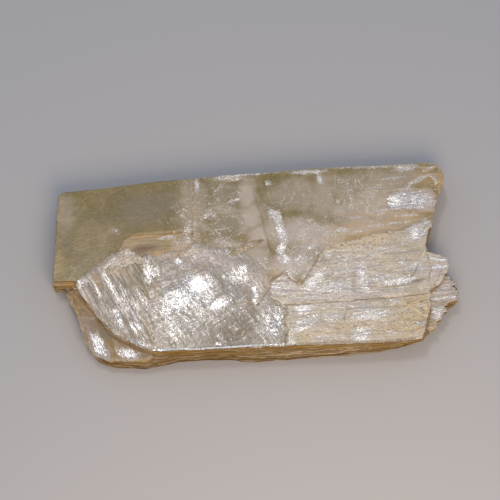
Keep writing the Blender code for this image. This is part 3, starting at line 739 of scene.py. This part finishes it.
bright_finish = mica_finish("bright_mica", turn=-58, drawn=2.4, scale=0.32, tilt=0.105, relief=0.15,
                            clear=(0.42, 0.365, 0.30), gap=(0.19, 0.168, 0.14), frosted=(0.95, 0.92, 0.895),
                            haze=(0.54, 0.45, 0.385), rough=(0.26, 0.28), gleam=0.8, coat=0.15, lined=0.7,
                            shingle=0.08, haired=0.3, crinkled=0.65)
bright_stains = {
    "silver": [
        (-14, -10, 14, 11, 0.56), (-13.2, -5.4, 3, 2.6, -50, 1.55), (-8.3, -10.3, 3.2, 1.4, 15, 1.3),
        (-18.8, -8.8, 3.4, 2.4, -60, 1.15), (-15.5, -7.6, 7.5, 4.2, 25, 1.12), (-17, -15, 6, 3.4, 0.7),
        (-10, -4.5, 2.4, 0.8, -50, 1), (-11, -8.4, 4, 1.6, 40, 0.9), (-20.4, -13, 5, 1.4, -75, 0.9),
        (-19.6, -16.5, 3, 0.8, -66, 1), (-20.6, -12.2, 2.6, 0.7, -64, 1.1), (-13, -13, 7, 3, 0.6),
        (-4.6, -4.5, 3.4, 2.6, -20, 0.8), (-2.6, -2.5, 1.4, 1.5, 1.05), (-3, -10, 3, 2.4, 0.5),
        (-0.3, -9, 0.8, 3.6, 1.15), (-6, 2.2, 5, 1.4, -20, 0.5), (-17.2, 0.8, 1.2, 1, 1.1),
        (2.6, -15.5, 4.4, 5.5, 0.92), (-6.6, -3.4, 1.4, 0.5, 40, 1), (-9.5, -20.1, 1, 0.5, 1.4)]
    + [blot for k in (1, 2, 3, 4) for blot in
       runs([(-12.1 + 1.4 * k, -18.4 - 0.4 * k), (-8.8 + k, -15.9 - k), (-5.4 + k, -13.8 - k),
             (-1.6 + k, -12.4 - k)], 0.3, 0.8)],
    "gold": [
        (-16, 2.8, 5, 1, 10, 0.6), (-24.4, -15, 0.9, 4.5, 12, 0.7), (-22.6, -5, 1, 4, 10, 0.6),
        (-2, -10.8, 1.2, 0.8, 0.4), (2.2, -5, 1.4, 4, 0.35), (-14, -1.5, 5, 0.8, 10, 0.35)],
    "smoke_and_shadow": [
        (-4.5, -16.6, 8.4, 3, 27, 0.96), (-8, -6.5, 1.2, 2.4, -40, 0.5), (-1, -19.6, 3, 1.2, 10, 0.6),
        (-1.8, -9, 1.2, 2.6, 0.7)],
    "blush": [
        (-20, -2, 3, 3.4, 0.9), (-1.6, -5, 3.4, 4, 0.9), (-12, 0.6, 9, 2.6, -6, 1), (2, -5, 1.8, 5, 0.9),
        (-23.4, -12, 1, 9, 8, 0.8)],
    "split": runs([(-12.1, -18.2), (-9.6, -15.5), (-5.8, -13.1), (-2.5, -11.8), (-0.6, -10.7)], 0.25, 0.5)
    + runs([(-1.2, -12.5), (1.2, -10.2), (3.2, -7.4)], 0.25, 0.6)
    + runs([(6.4, -11.8), (6.8, -13.4), (5.7, -15.6), (6.3, -18), (5.5, -21.4)], 0.25, 0.7)}
make_piece("bright_sheet", [sheet(BRIGHT_SHEET, bright_roof, floor=6.25, step=0.14, tear=0.35, layers=7,
                                  tear_grain=(0, 1.2, 0.8), layer_depth=0.08, seed=35)], bright_finish,
           bright_stains, streak=(-60, 2.4, 1), ragged=0.22)

# A golden ledge of torn sheets lies along the end of the beige strip.
GOLD_LEDGE = [
    (-6, 1.7), (-4.4, 2.7), (-2, 3.8), (0.8, 4.9), (2.8, 5.3), (3.1, 4.5), (1.4, 3.6), (-0.6, 2.7),
    (-2.8, 1.7), (-4.8, 1.2)]
LEDGE_LEVEL = 7.14


def ledge_roof(x, y, depth):
    """A low ridge, creased along its length."""
    return LEDGE_LEVEL + 0.10 * ease(depth, 0, 0.6) + 0.05 * grain(x, y, 30, 2, 0.35, 89)


ledge_finish = mica_finish("ledge_mica", turn=30, drawn=4, scale=0.35, tilt=0.14, relief=0.4, gleam=0.4,
                           clear=(0.26, 0.165, 0.07), gap=(0.20, 0.125, 0.06), frosted=(0.85, 0.68, 0.42))
make_piece("gold_ledge", [sheet(GOLD_LEDGE, ledge_roof, floor=6.9, step=0.12, tear=0.3, layers=3,
                                layer_depth=0.05, seed=27)], ledge_finish, {
    "silver": [(-2, 3, 5, 1.5, 30, 0.45)],
    "gold": [(-2, 3.2, 5, 0.7, 25, 0.7)]})

# The front edge of the uppermost sheets is turned up into a narrow shining lip.
LIP = [
    (-24.4, -20.75), (-19, -20.95), (-12.5, -21.2), (-4, -21.3), (3, -21.45), (9, -21.85), (16, -22.2),
    (25, -22.4), (31, -22.55), (35, -22.4)]
LIP_LEVEL, LIP_WIDTH = 6.94, 0.42


def lip_roof(x, y, depth):
    """A narrow slope that rises from the front edge, by 1 part in 10."""
    return LIP_LEVEL + 0.1 * (y - np.interp(x, *zip(*LIP))) + 0.02 * value_noise(x / 2, y, 33)


lip = sheet(LIP + [(x, y + LIP_WIDTH) for x, y in LIP[::-1]], lip_roof, floor=6.6, step=0.1, tear=0.14,
            tear_grain=(0, 2, 0.4), layers=3, layer_depth=0.03, seed=31)
make_piece("front_lip", [lip], bright_finish, {
    "silver": [(-10, -21, 16, 2, 1.7), (22, -22, 20, 2, 0.4)],
    "gold": [(22, -22, 20, 2, 0.9)]}, streak=(0, 3, 1))

# ---------------------------------------------------------------------------------------------------------
# The corner fan. Towards the broken corner the sheets have peeled up in long blades that run steeply to the
# front edge, each with its own frayed tip, one overlapping the next.

CORNER_FAN = [
    (-41.2, -2.2), (-38.4, -8), (-35.5, -12.5), (-32.5, -16), (-28.5, -18.8), (-23.8, -20.8),
    (-22.6, -20.4), (-24, -14.5), (-24.6, -8.5), (-23.6, -5), (-22.4, 1), (-23.5, 3), (-26.5, 2.6),
    (-28, 4), (-30.4, 4.6), (-33.4, 3.6), (-36.2, 1.8), (-39.2, 0.4)]
FAN_LEVEL = 6.90
FAN_TURN = -64.0  # the direction of the blades, in degrees
FAN_STREAK = (FAN_TURN, 5, 0.6)


def fan_roof(x, y, depth):
    """Folds drawn out along the blades, lower towards the front corner."""
    folds = 0.14 * stairs(grain(x, y, FAN_TURN, 10, 1.6, 95, 3), 3)
    folds = folds + 0.03 * grain(x, y, FAN_TURN, 5, 0.5, 96)
    return FAN_LEVEL + folds + 0.015 * (y + 9.0) - worn_rim(depth, 0.3, 0.06)


fan_finish = mica_finish("fan_mica", turn=FAN_TURN, drawn=4.5, scale=0.34, tilt=0.12, relief=0.25, gleam=0.7,
                         clear=(0.31, 0.25, 0.185), gap=(0.175, 0.143, 0.11), coat=0.15, lined=0.3,
                         haired=0.45, crinkled=0.2)
fan_stains = {
    "silver": [
        (-31, -8, 12, 7, FAN_TURN, 0.26), (-39.3, -2.8, 1.2, 1.5, 0.8), (-32.6, -4.5, 5.6, 0.6, -62, 1.12),
        (-35.9, -5.5, 3.4, 0.45, -68, 1.1), (-23.6, -2.2, 3.2, 1.9, -75, 1.15),
        (-31.6, -12, 2.6, 0.9, -75, 1), (-28, -14.6, 2, 1.6, 1.05), (-29, -10, 5, 3, FAN_TURN, 0.6),
        (-31, 2.6, 4.6, 0.7, 25, 0.6), (-25.6, -9, 4, 1, -66, 0.8), (-27, -18.6, 4, 0.7, -20, 0.8),
        (-30.4, -5.5, 4, 0.7, -62, 0.8)],
    "gold": [
        (-36.4, -2.5, 2.6, 0.9, FAN_TURN, 0.7), (-30, -0.8, 3, 1.6, 0.5), (-27, -6, 5, 0.8, -66, 0.5),
        (-24.4, -9, 5, 0.7, -80, 0.7), (-39, -7, 4, 0.6, -60, 0.5), (-26, -13, 5, 0.5, -70, 0.5)],
    "smoke_and_shadow": [
        (-36.8, -4, 3.4, 0.8, FAN_TURN, 0.8), (-34.2, -5.8, 3.6, 0.7, FAN_TURN, 0.7),
        (-28.6, -3, 4, 0.8, FAN_TURN, 0.4), (-33, -12.6, 3, 0.5, -55, 0.4)],
    "blush": [(-38.2, -7, 4.6, 1, -62, 0.7), (-33.5, -11, 5, 1, -55, 0.5), (-31, 2.4, 4, 1.4, 25, 0.7)]}
make_piece("corner_fan", [sheet(CORNER_FAN, fan_roof, floor=6.2, step=0.15, tear=0.3,
                                tear_grain=(FAN_TURN, 2.5, 1), layers=6, layer_depth=0.10, seed=41)],
           fan_finish, fan_stains, streak=FAN_STREAK)

# A crumpled tissue of the thinnest sheets is left along the top of the fan, over the edge of the back sheet.
TORN_TISSUE = [
    (-36.4, -0.6), (-34.6, 1.6), (-32, 3.2), (-30.2, 4.6), (-28.6, 4.8), (-27, 3.8), (-25.4, 2.8),
    (-23.2, 3), (-22.6, 1.4), (-25, 0.8), (-27, 1.2), (-29, 0.2), (-31, -0.4), (-33.4, -1.8)]
TISSUE_LEVEL = 7.12


def tissue_roof(x, y, depth):
    """Crumpled across its length, and rising a little towards the back."""
    folds = 0.09 * stairs(grain(x, y, 60, 2.4, 0.8, 97, 3), 3) + 0.05 * grain(x, y, 30, 1.6, 0.4, 98)
    return TISSUE_LEVEL + 0.02 * y + folds - worn_rim(depth, 0.4, 0.06)


tissue_finish = mica_finish("tissue_mica", turn=50, drawn=2.5, scale=0.3, tilt=0.16, relief=0.3, gleam=0.5,
                            clear=(0.45, 0.34, 0.22), gap=(0.27, 0.20, 0.13), coat=0.1, lined=0.5)
make_piece("torn_tissue", [sheet(TORN_TISSUE, tissue_roof, floor=6.8, step=0.13, tear=0.45, layers=3,
                                 tear_grain=(50, 1.2, 0.6), layer_depth=0.05, seed=45)], tissue_finish, {
    "silver": [
        (-29, 2, 7, 3, 10, 0.5), (-24, 2, 1.6, 1, 0.9), (-33, 1.4, 2, 0.6, 40, 0.9),
        (-28.6, 3.8, 1.6, 0.5, 0.8)],
    "gold": [(-31, 2.8, 5, 0.7, 35, 0.7), (-27, 1.6, 3, 0.8, -20, 0.6)],
    "blush": [(-29, 1, 4, 1.2, 0.5)]}, streak=(50, 1.6, 0.6))

# Each blade is (tip x, tip y, length, width, turn in degrees, height of its tip).
BLADES = [
    (-40.4, -2.2, 9, 2.2, -63, 7.10), (-38.2, -0.6, 12, 1.8, -62, 7.16), (-35.4, 0.9, 17, 2.2, -66, 7.36),
    (-33, 1.2, 15, 2.2, -64, 7.16), (-30.4, 1.8, 14, 2.6, -65, 7.10), (-28.4, 1.2, 17, 2, -68, 7.12),
    (-24, 1.8, 8.4, 4.4, -74, 7.26), (-27, -8, 11, 2, -62, 7.08), (-31.5, -7, 9, 1.8, -58, 7.1)]


def strip_outline(x, y, length, width, turn):
    """A long strip from its tip: blunt and ragged at the tip, drawn to a point at its far end."""
    c, s = math.cos(math.radians(turn)), math.sin(math.radians(turn))
    shape = [
        (0, -0.22), (0.12, -0.42), (0.3, -0.5), (0.6, -0.42), (1, -0.05), (1, 0.05), (0.62, 0.4),
        (0.28, 0.5), (0.10, 0.30), (0.01, 0.10)]
    return [(x + u * length * c - v * width * s, y + u * length * s + v * width * c) for u, v in shape]


def curled_roof(x, y, length, width, turn, tip, root, bow):
    """The height of a strip: from its tip down to its root in an easing curve, bowed across, and folded."""
    def roof(px, py, depth):
        along, across = turned(px - x, py - y, turn)
        u, v = np.clip(along / length, 0.0, 1.0), across / width
        fold = 0.04 * grain(px, py, turn, 5, 0.6, round(97 + abs(x) + abs(y)))
        return root + (tip - root) * (1.0 - u) ** 1.6 - bow * v * v + fold

    return roof


def strip(x, y, length, width, turn, tip, root, bow=0.18, step=0.15, tear=0.25, seed=1):
    """A thin strip of a sheet that has come loose at its tip."""
    outline = strip_outline(x, y, length, width, turn)
    roof = curled_roof(x, y, length, width, turn, tip, root, bow)
    return sheet(outline, roof, step=step, tear=tear, tear_grain=(turn, 2.5, 0.32), layers=2,
                 layer_depth=0.03, seed=seed)


make_piece("fan_blades", [strip(*blade, root=6.72, seed=50 + number) for number, blade in enumerate(BLADES)],
           fan_finish, fan_stains, streak=FAN_STREAK)

# ---------------------------------------------------------------------------------------------------------
# The fibrous sheet. The front of the right-hand half has split along its length into fibres and narrow laths,
# silver where they have parted and golden where iron has crept in between them.

FIBROUS_SHEET = [
    (6.2, -13.6), (5, -11.6), (2.6, -10.4), (2.2, -7.5), (4, -3.5), (8, -1), (13, 0), (15, 5), (24, 6.6),
    (33, 7.2), (40.6, 7.4), (41.6, 5.6), (40.8, 3.6), (40, 0.6), (40.2, -1), (42.6, -1.8), (44.5, -2.8),
    (44.9, -4.4), (43.8, -7), (41.8, -9.6), (39.6, -10.6), (39.2, -15), (38, -18.4), (36.4, -22),
    (34, -22.3), (25, -22.3), (13.5, -22), (5, -21.6), (5.8, -18), (5.2, -15.6)]
FIBRE_LEVEL, CRACK_DEPTH, CRACK_WIDTH = 6.84, 0.12, 0.16
CRACKS = [
    [(6.6, -11.7), (9.8, -11.95), (13.4, -11.8), (20.1, -11.85), (26.9, -11.6), (32.9, -11.7), (39.2, -11.3)],
    [(43.3, -5.4), (41.8, -8.1), (40.2, -10.6)],
    [(40.2, -1.4), (40.8, -5), (39.8, -8)],
    [(35, -8.3), (36, -7), (38.1, -3.9)],
    [(6.6, -11.7), (7, -13.4), (5.9, -15.6), (6.5, -18), (5.7, -21.4)],
    [(21.4, -13.7), (20.5, -14), (19.5, -15.7), (19.7, -17.1)]]


def fibrous_roof(x, y, depth):
    """Fine ridges along X on low boards, which are cut by the cracks and rise to meet the back sheet."""
    slanting = 0.25 * (x - 6) * ease(-y, 13, 17) * ease(20 - x, 0, 8)
    bent = y + 0.5 * fractal(x / 7, y / 4, 105) - slanting
    boards = 0.07 * facets(x / 6 + 0.3 * bent, bent / 1.6, 101)
    boards = boards + 0.10 * stairs(grain(x, bent, 2, 7, 1.5, 104, 3), 3)
    fibres = 0.025 * grain(x, bent, 2, 4, 0.5, 103)
    meeting = 0.14 * ease(y, -2, 5) * ease(x, 15, 20)
    height = FIBRE_LEVEL + boards + fibres + meeting - 0.1 * ease(8 - x, 0, 4)
    for line in CRACKS:
        height = height - CRACK_DEPTH * np.exp(-(far_from_line(x, y, line) / CRACK_WIDTH) ** 2)
    return height - worn_rim(depth, 0.25, 0.06)


FIBRE_STREAK = (2, 5, 0.6)
fibre_finish = mica_finish("fibrous_mica", turn=2, drawn=3.4, scale=0.32, tilt=0.14, relief=0.25, gleam=0.5,
                           clear=(0.72, 0.60, 0.475), gap=(0.38, 0.31, 0.235), coat=0.2, lined=0.4,
                           rough=(0.26, 0.28), iron=(0.82, 0.59, 0.28), haired=0.35, crinkled=0.4)
fibre_stains = {
    "silver": [
        (20, -8, 24, 15, 0.58), (13.4, -6.6, 4.4, 1.6, 43, 1.4), (24.8, -6.8, 1.8, 4.2, 6, 1.3),
        (33, -7.8, 4.4, 1.1, 6, 1.45), (37.4, -4.6, 3, 1.4, 8, 1.15), (17, -8.4, 7, 2.2, 1.05),
        (10.2, -13.1, 2.2, 1.8, 1.35), (25.2, -15.4, 5, 1.6, -3, 1.25), (10.5, -16.8, 5.2, 1.5, 30, 1.1),
        (22.7, -20.3, 2.5, 2.1, 1.35), (27.5, -6.6, 4, 1, 4, 0.95), (7, -20.5, 1.2, 1.6, 0.9),
        (17, -15.5, 3, 1.1, 10, 0.9), (17.5, 0.3, 1.4, 0.6, 1), (30, 0.6, 3, 0.7, 4, 1.05),
        (34, -3, 2, 1.6, 30, 0.85), (36.5, -5, 2.4, 0.9, 1.05), (31.5, -12.5, 2, 1.2, 0.8),
        (13, -10.4, 6, 0.6, 0.9), (20, -13.2, 8, 0.6, 0.85), (6.5, -7.5, 4, 2.6, 0.85),
        (28, -9.8, 8, 0.7, 0.8), (38, 4, 1.3, 2, -20, 1.6), (42, -3, 2.8, 0.6, -16, 1.5),
        (42.4, -5.1, 2.4, 0.9, 5, 1.5), (38.8, 4.6, 3.4, 2.8, 1.05), (4.2, -7.1, 2.8, 1.2, 1.15),
        (40.5, -7.5, 3, 2, 20, 0.6), (3.4, -16, 2.8, 5, 0.85), (22, -2, 7, 0.7, 0.8),
        (20, -4.4, 5, 0.6, 0.8), (14, -20.4, 4, 0.9, 0.7), (30, -20.5, 4, 0.8, 0.6),
        (36.2, -18.6, 1.8, 0.7, 8, 0.95), (33.8, -15.2, 1, 0.8, 0.9), (37.2, -14.4, 1.2, 0.5, -20, 1)],
    "gold": [
        (35.8, -15.5, 4.2, 4.6, 1.1), (32, -18.8, 6, 3, 0.7), (22, -18.2, 6, 1, 5, 0.75),
        (12, -19.4, 5, 1, 5, 0.6), (24, 3.4, 9, 3, 1), (30, -2, 8, 1.2, 0.5), (6.2, -16.5, 0.6, 5, 0.7),
        (1.2, -10.4, 0.8, 2, -20, 0.7), (27, -4.8, 7, 0.6, 0.5), (22, -9.2, 9, 0.5, 2, 0.5),
        (17, -2.6, 4, 0.8, 0.5), (16, -13.9, 8, 0.4, 3, 0.5)],
    "blush": [
        (26, 2, 14, 2.6, 0.4), (20, -10.5, 14, 1, 0.8), (12, -15.5, 5, 1.2, 10, 0.7), (40, -4, 4, 4, 0.8),
        (20, -4, 10, 2, 0.4)],
    # The three thin lines in the golden corner are painted shadows of the needles that lie over it.
    "smoke_and_shadow": [
        (33, -8.9, 5, 0.35, 3, 0.7), (22.4, -6.6, 0.3, 3, 0.4), (36, -8.2, 8, 0.4, 9, 0.9),
        (36.4, -13.2, 3, 0.3, 8, 0.8), (34.6, -17.6, 3.6, 0.3, -6, 0.8), (37, -19.6, 2, 0.3, 10, 0.8),
        (29, -14, 8, 0.2, 0.6), (21, -17.6, 5, 0.2, 8, 0.7), (10, -4.6, 5, 0.3, -10, 0.5)],
    "split": runs(CRACKS[0], 0.2, 0.85) + [blot for line in CRACKS[1:] for blot in runs(line, 0.2, 0.45)]
    + runs([(2.9, -6.5), (4.9, -5), (7.1, -3.6), (8.2, -5.8), (10.4, -7.6), (13, -3.7),
            (14.9, -0.9)], 0.25, 0.45)}
make_piece("fibrous_sheet", [sheet(FIBROUS_SHEET, fibrous_roof, floor=6.2, step=0.15, tear=0.3, layers=6,
                                   tear_grain=(0, 3, 0.8), layer_depth=0.10, seed=101)], fibre_finish,
           fibre_stains, streak=FIBRE_STREAK, ragged=0.3)

# Loose laths lie over it. Each is (left end, length, middle, width, height of its free end). The free end is
# at the right, so each strip starts there and is turned by about 180 degrees.
LATHS = [
    (13, 22, 1.2, 1.8, 6.93), (18, 17.4, -2.4, 1.6, 6.92), (11.5, 13.6, -6.9, 2.4, 6.94),
    (27, 10, -7.4, 1.6, 6.94), (20, 9.5, -15.7, 1.9, 6.95), (8, 11, -17, 1.6, 6.92),
    (19.6, 5.6, -20.6, 2.4, 6.92)]
chance = np.random.default_rng(7)
for _ in range(30):
    left, middle = chance.uniform(8, 32), chance.uniform(-21, 4)
    LATHS.append((left, chance.uniform(3, min(9, 38 - left)), middle, chance.uniform(0.5, 1.3),
                  chance.uniform(6.86, 6.93)))
laths = [strip(left + length, middle, length, width, 180 + chance.uniform(-4, 8), tip, root=6.78,
               bow=0.1, tear=0.36, seed=130 + number)
         for number, (left, length, middle, width, tip) in enumerate(LATHS)]
make_piece("loose_laths", laths, fibre_finish, fibre_stains, streak=FIBRE_STREAK)

# In the golden corner fine needles lie across one another. Each is (tip x, tip y, length, turn in degrees),
# and the first four are broader than the rest.
BROAD_NEEDLES, BROAD, NARROW = 4, 0.3, 0.2
NEEDLES = [(37.8, -17.1, 4.6, 136), (34.6, -14.2, 3.4, 212), (38, -12.8, 4, 195), (39.8, -0.5, 2.4, 243)]
for _ in range(6):
    NEEDLES.append((chance.uniform(33, 38.6), chance.uniform(-20, -11), chance.uniform(1.5, 4),
                    180 + chance.uniform(-55, 40)))
needle_finish = mica_finish("needle_mica", turn=2, drawn=5, scale=0.32, tilt=0.1, veiled=0.2, gleam=0.3,
                            clear=(0.90, 0.80, 0.58), gap=(0.40, 0.30, 0.18), iron=(0.78, 0.57, 0.28),
                            scribbled=0.0)
needles = [strip(x, y, length, BROAD if number < BROAD_NEEDLES else NARROW, turn, 7.06, root=6.92, bow=0,
                 step=0.1, tear=0.06, seed=170 + number)
           for number, (x, y, length, turn) in enumerate(NEEDLES)]
make_piece("corner_needles", needles, needle_finish, {
    "gold": [(36, -18.5, 6, 2.6, 0.9), (37.5, -12, 4, 1.2, 0.9), (33.6, -12.6, 1.6, 1.6, 0.9)]},
           ragged=0.1)

# ---------------------------------------------------------------------------------------------------------
# The right-hand end. A bright scale stands on the back pane, beyond it the end is rounded and stained orange,
# and below, pale splinters of the lower packets stick out past the rest.

BRIGHT_SCALE = [
    (32.8, 10.6), (33.6, 9.8), (37, 9.6), (38.4, 8.6), (43, 8.8), (43.6, 11), (44.4, 13.6), (43, 15.6),
    (38, 15.4), (35.4, 15.9), (33, 14.7), (32.3, 12.4)]
SCALE_LEVEL, END_LEVEL = 7.17, 6.92
GOLDEN_END = [
    (41.8, 10.6), (43.4, 10.4), (44.6, 13), (46.2, 16.4), (46.5, 19.6), (45.4, 21.6), (43, 22.3),
    (40.5, 22.3), (41.2, 19), (43.2, 17), (42.6, 13.6)]


def scale_roof(x, y, depth):
    """Highest at its left end, in thin layers that run along its length."""
    layers = 0.10 * stairs(grain(x, y, -4, 5, 1.6, 140, 3), 3) + 0.04 * facets(x / 4, y / 1.1, 142)
    return SCALE_LEVEL + 0.012 * (37 - x) * ease(37 - x, 0, 4) + layers - worn_rim(depth, 0.5, 0.06)


def end_roof(x, y, depth):
    """A rounded lump, thickest in the middle."""
    ridges = 0.16 * stairs(grain(x, y, 10, 4, 1.3, 143, 3), 3) + 0.05 * grain(x, y, 20, 2, 0.4, 144)
    return END_LEVEL + 0.22 * ease(depth, 0, 1.4) + ridges


end_finish = mica_finish("end_mica", turn=-4, drawn=4, scale=0.32, tilt=0.13, relief=0.3, gleam=0.6,
                         clear=(0.45, 0.325, 0.185), gap=(0.34, 0.28, 0.21), coat=0.2, lined=0.5,
                         rough=(0.26, 0.28), iron=(0.52, 0.29, 0.075), haired=0.3)
end_stains = {
    "silver": [
        (37.4, 12.6, 6.4, 2.8, 1.1), (34.4, 12.6, 2.2, 2.6, 1.7), (36, 14.4, 3, 0.7, 1.3),
        (38.6, 12.9, 4.6, 0.5, -3, 1.3), (40.5, 13.6, 2.4, 0.5, -20, 1.1), (43, 19, 3, 2.4, 25, 0.5),
        (38.5, 10.4, 3, 0.4, 1.1), (43.6, 20.8, 1.4, 0.5, 20, 1.1), (44.6, 16, 0.5, 1.6, 0.9)],
    "gold": [
        (46, 17.6, 1, 4.4, -8, 1.2), (44.4, 13.6, 1, 2, -30, 1), (40.6, 9, 2.8, 0.6, 0.8),
        (43.6, 19.4, 3, 3, 0.55)],
    "blush": [(40.6, 12.2, 4, 3.4, 0.9)],
    "smoke_and_shadow": [(38.4, 12.2, 1, 0.4, 0.8), (42.6, 16.6, 1.4, 0.8, 20, 0.7), (44.8, 20.4, 0.6, 0.8, 0.6)]}
make_piece("bright_scale", [sheet(BRIGHT_SCALE, scale_roof, floor=6.9, step=0.14, tear=0.3, layers=3,
                                  tear_grain=(0, 2, 0.7), layer_depth=0.05, seed=145)], end_finish,
           end_stains, streak=(-3, 4, 0.6), ragged=0.3)
make_piece("golden_end", [sheet(GOLDEN_END, end_roof, floor=6.3, step=0.16, tear=0.15, layers=7,
                                layer_depth=0.08, seed=147)], end_finish, end_stains, streak=(20, 2, 0.6))

# Lower sheets stick out past the rest: a banded shelf, with a silver tip in front of it.
END_SHELF = [
    (38, -7), (44.2, -6.6), (45, -7.8), (46.3, -8.6), (45.4, -9.6), (46.4, -10.6), (45.6, -11.6),
    (46, -12.4), (44.4, -13), (42.9, -14), (43, -15), (41.8, -16.9), (40.5, -17.6), (39.9, -19.4),
    (38.6, -19.8), (37, -18)]
SHELF_LEVEL = 5.5


def shelf_roof(x, y, depth):
    """Cleavage steps down towards the front, in bands along X."""
    bands = 0.5 * stairs(0.16 * (y + 8) + 0.05 * grain(x, y, 2, 6, 1.2, 151), 7)
    return SHELF_LEVEL + bands + 0.03 * grain(x, y, 2, 5, 0.4, 152) - worn_rim(depth, 0.3, 0.1)


shelf_finish = mica_finish("shelf_mica", turn=1, drawn=6, scale=0.36, tilt=0.12, relief=0.4, gleam=0.7,
                           clear=(0.44, 0.365, 0.30), gap=(0.30, 0.25, 0.20), coat=0.2, lined=0.8, haired=0.5)
shelf_stains = {
    "silver": [
        (43, -9.7, 4, 0.3, 2, 1.3), (43, -12, 4, 0.4, 2, 1.6), (43, -10.5, 4, 3, 0.5),
        (41, -15.6, 1.9, 1.7, 20, 1.5)],
    "gold": [(43, -7.4, 2.6, 0.8, 0.5), (39.4, -18.4, 0.8, 1.4, -10, 0.8)],
    "blush": [(43.5, -8.6, 3, 0.6, 0.9), (43, -10.8, 3, 0.4, 2, 0.8)]}
make_piece("end_shelf", [sheet(END_SHELF, shelf_roof, floor=3.3, step=0.14, tear=0.5, layers=12,
                               tear_grain=(0, 3, 0.4), layer_depth=0.10, seed=155)], shelf_finish,
           shelf_stains, streak=(2, 4, 0.5))

# A few narrow splinters point out over the shelf. Each is (x and y of its free end, length, width, turn,
# height of its free end, height of its root).
SPLINTERS = [
    (46.3, -9, 7, 0.8, 182, 5.6, 5.5), (46.2, -12.2, 7, 0.7, 178, 5.2, 5.1),
    (43.4, -14.8, 5, 0.8, 172, 5, 5), (40.4, -19.6, 3, 0.5, 110, 4.9, 5.1)]
splinters = [strip(*splinter, bow=0.1, tear=0.15, seed=150 + number)
             for number, splinter in enumerate(SPLINTERS)]
make_piece("end_splinters", splinters, shelf_finish, shelf_stains)

# ---------------------------------------------------------------------------------------------------------
# The studio: a plain pale floor, a soft warm key light from the front, and a softbox behind and above whose
# mirror image the tilted flakes catch.

CAMERA_AZIMUTH, CAMERA_ELEVATION = -4.3, 65.0  # degrees
CAMERA_DISTANCE = 0.350  # metres
FOCAL_PIXELS, IMAGE_SIDE, SENSOR = 1505.0, 500, 36.0
AIM, AIM_PIXEL = Vector((0.0, 0.0, 0.0035)), (253.2, 265.8)
FLOOR_SIDE, FLOOR_GREY, FLOOR_ROUGHNESS = 6.0, (0.545, 0.523, 0.512, 1.0), 0.9
ROOM_BLUE, ROOM_STRENGTH = (0.70, 0.80, 1.0, 1.0), 0.495
# Each softbox is (name, azimuth, elevation, distance in metres, side in metres, watts, colour).
SOFTBOXES = [("front_key", 8.0, 45.0, 0.235, 0.12, 0.255, (1.0, 0.79, 0.54)),
             ("overhead_softbox", 206.7, 73.2, 0.7, 0.106, 0.60, (1.0, 0.97, 0.93))]


def direction(azimuth, elevation):
    """The unit vector towards an azimuth, 0 in front and 90 to the right, and an elevation, in degrees."""
    a, e = math.radians(azimuth), math.radians(elevation)
    return Vector((math.sin(a) * math.cos(e), -math.cos(a) * math.cos(e), math.sin(e)))


def add_object(name, data):
    """An object of the scene that isn't a piece of the book."""
    made = bpy.data.objects.new(name, data)
    bpy.context.scene.collection.objects.link(made)
    return made


# The camera looks down at the book, and its lens and place put the aim point at its pixel.
back = direction(CAMERA_AZIMUTH, CAMERA_ELEVATION)
right = (-back).cross(Vector((0.0, 0.0, 1.0))).normalized()
up = right.cross(-back)
across = (AIM_PIXEL[0] - IMAGE_SIDE / 2) / FOCAL_PIXELS
above = (IMAGE_SIDE / 2 - AIM_PIXEL[1]) / FOCAL_PIXELS
lens = bpy.data.cameras.new("camera")
lens.sensor_width = SENSOR
lens.lens = FOCAL_PIXELS * SENSOR / IMAGE_SIDE
lens.clip_start, lens.clip_end = 0.01, 10.0
camera = add_object("camera", lens)
camera.location = AIM - CAMERA_DISTANCE * (-back + right * across + up * above)
camera.rotation_euler = Matrix((right, up, back)).transposed().to_euler()
bpy.context.scene.camera = camera

# The floor is a wide sheet of pale paper, and the room round it gives a weak bluish light.
plane = bpy.data.meshes.new("floor")
half = FLOOR_SIDE / 2
plane.from_pydata([(-half, -half, 0.0), (half, -half, 0.0), (half, half, 0.0), (-half, half, 0.0)], [],
                  [(0, 1, 2, 3)])
paper = bpy.data.materials.new("floor_paper")
paper.use_nodes = True
paper.node_tree.nodes["Principled BSDF"].inputs["Base Color"].default_value = FLOOR_GREY
paper.node_tree.nodes["Principled BSDF"].inputs["Roughness"].default_value = FLOOR_ROUGHNESS
plane.materials.append(paper)
floor = add_object("floor", plane)
world = bpy.data.worlds.new("soft_room")
world.use_nodes = True
world.node_tree.nodes["Background"].inputs["Color"].default_value = ROOM_BLUE
world.node_tree.nodes["Background"].inputs["Strength"].default_value = ROOM_STRENGTH
bpy.context.scene.world = world

# Each softbox is a square panel that faces the middle of the book.
for name, azimuth, elevation, distance, side, watts, colour in SOFTBOXES:
    panel = bpy.data.lights.new(name, "AREA")
    panel.size, panel.energy, panel.color = side, watts, colour
    light = add_object(name, panel)
    towards = direction(azimuth, elevation)
    light.location = towards * distance
    light.rotation_euler = towards.to_track_quat("Z", "Y").to_euler()
bpy.context.scene.view_settings.view_transform = "Standard"
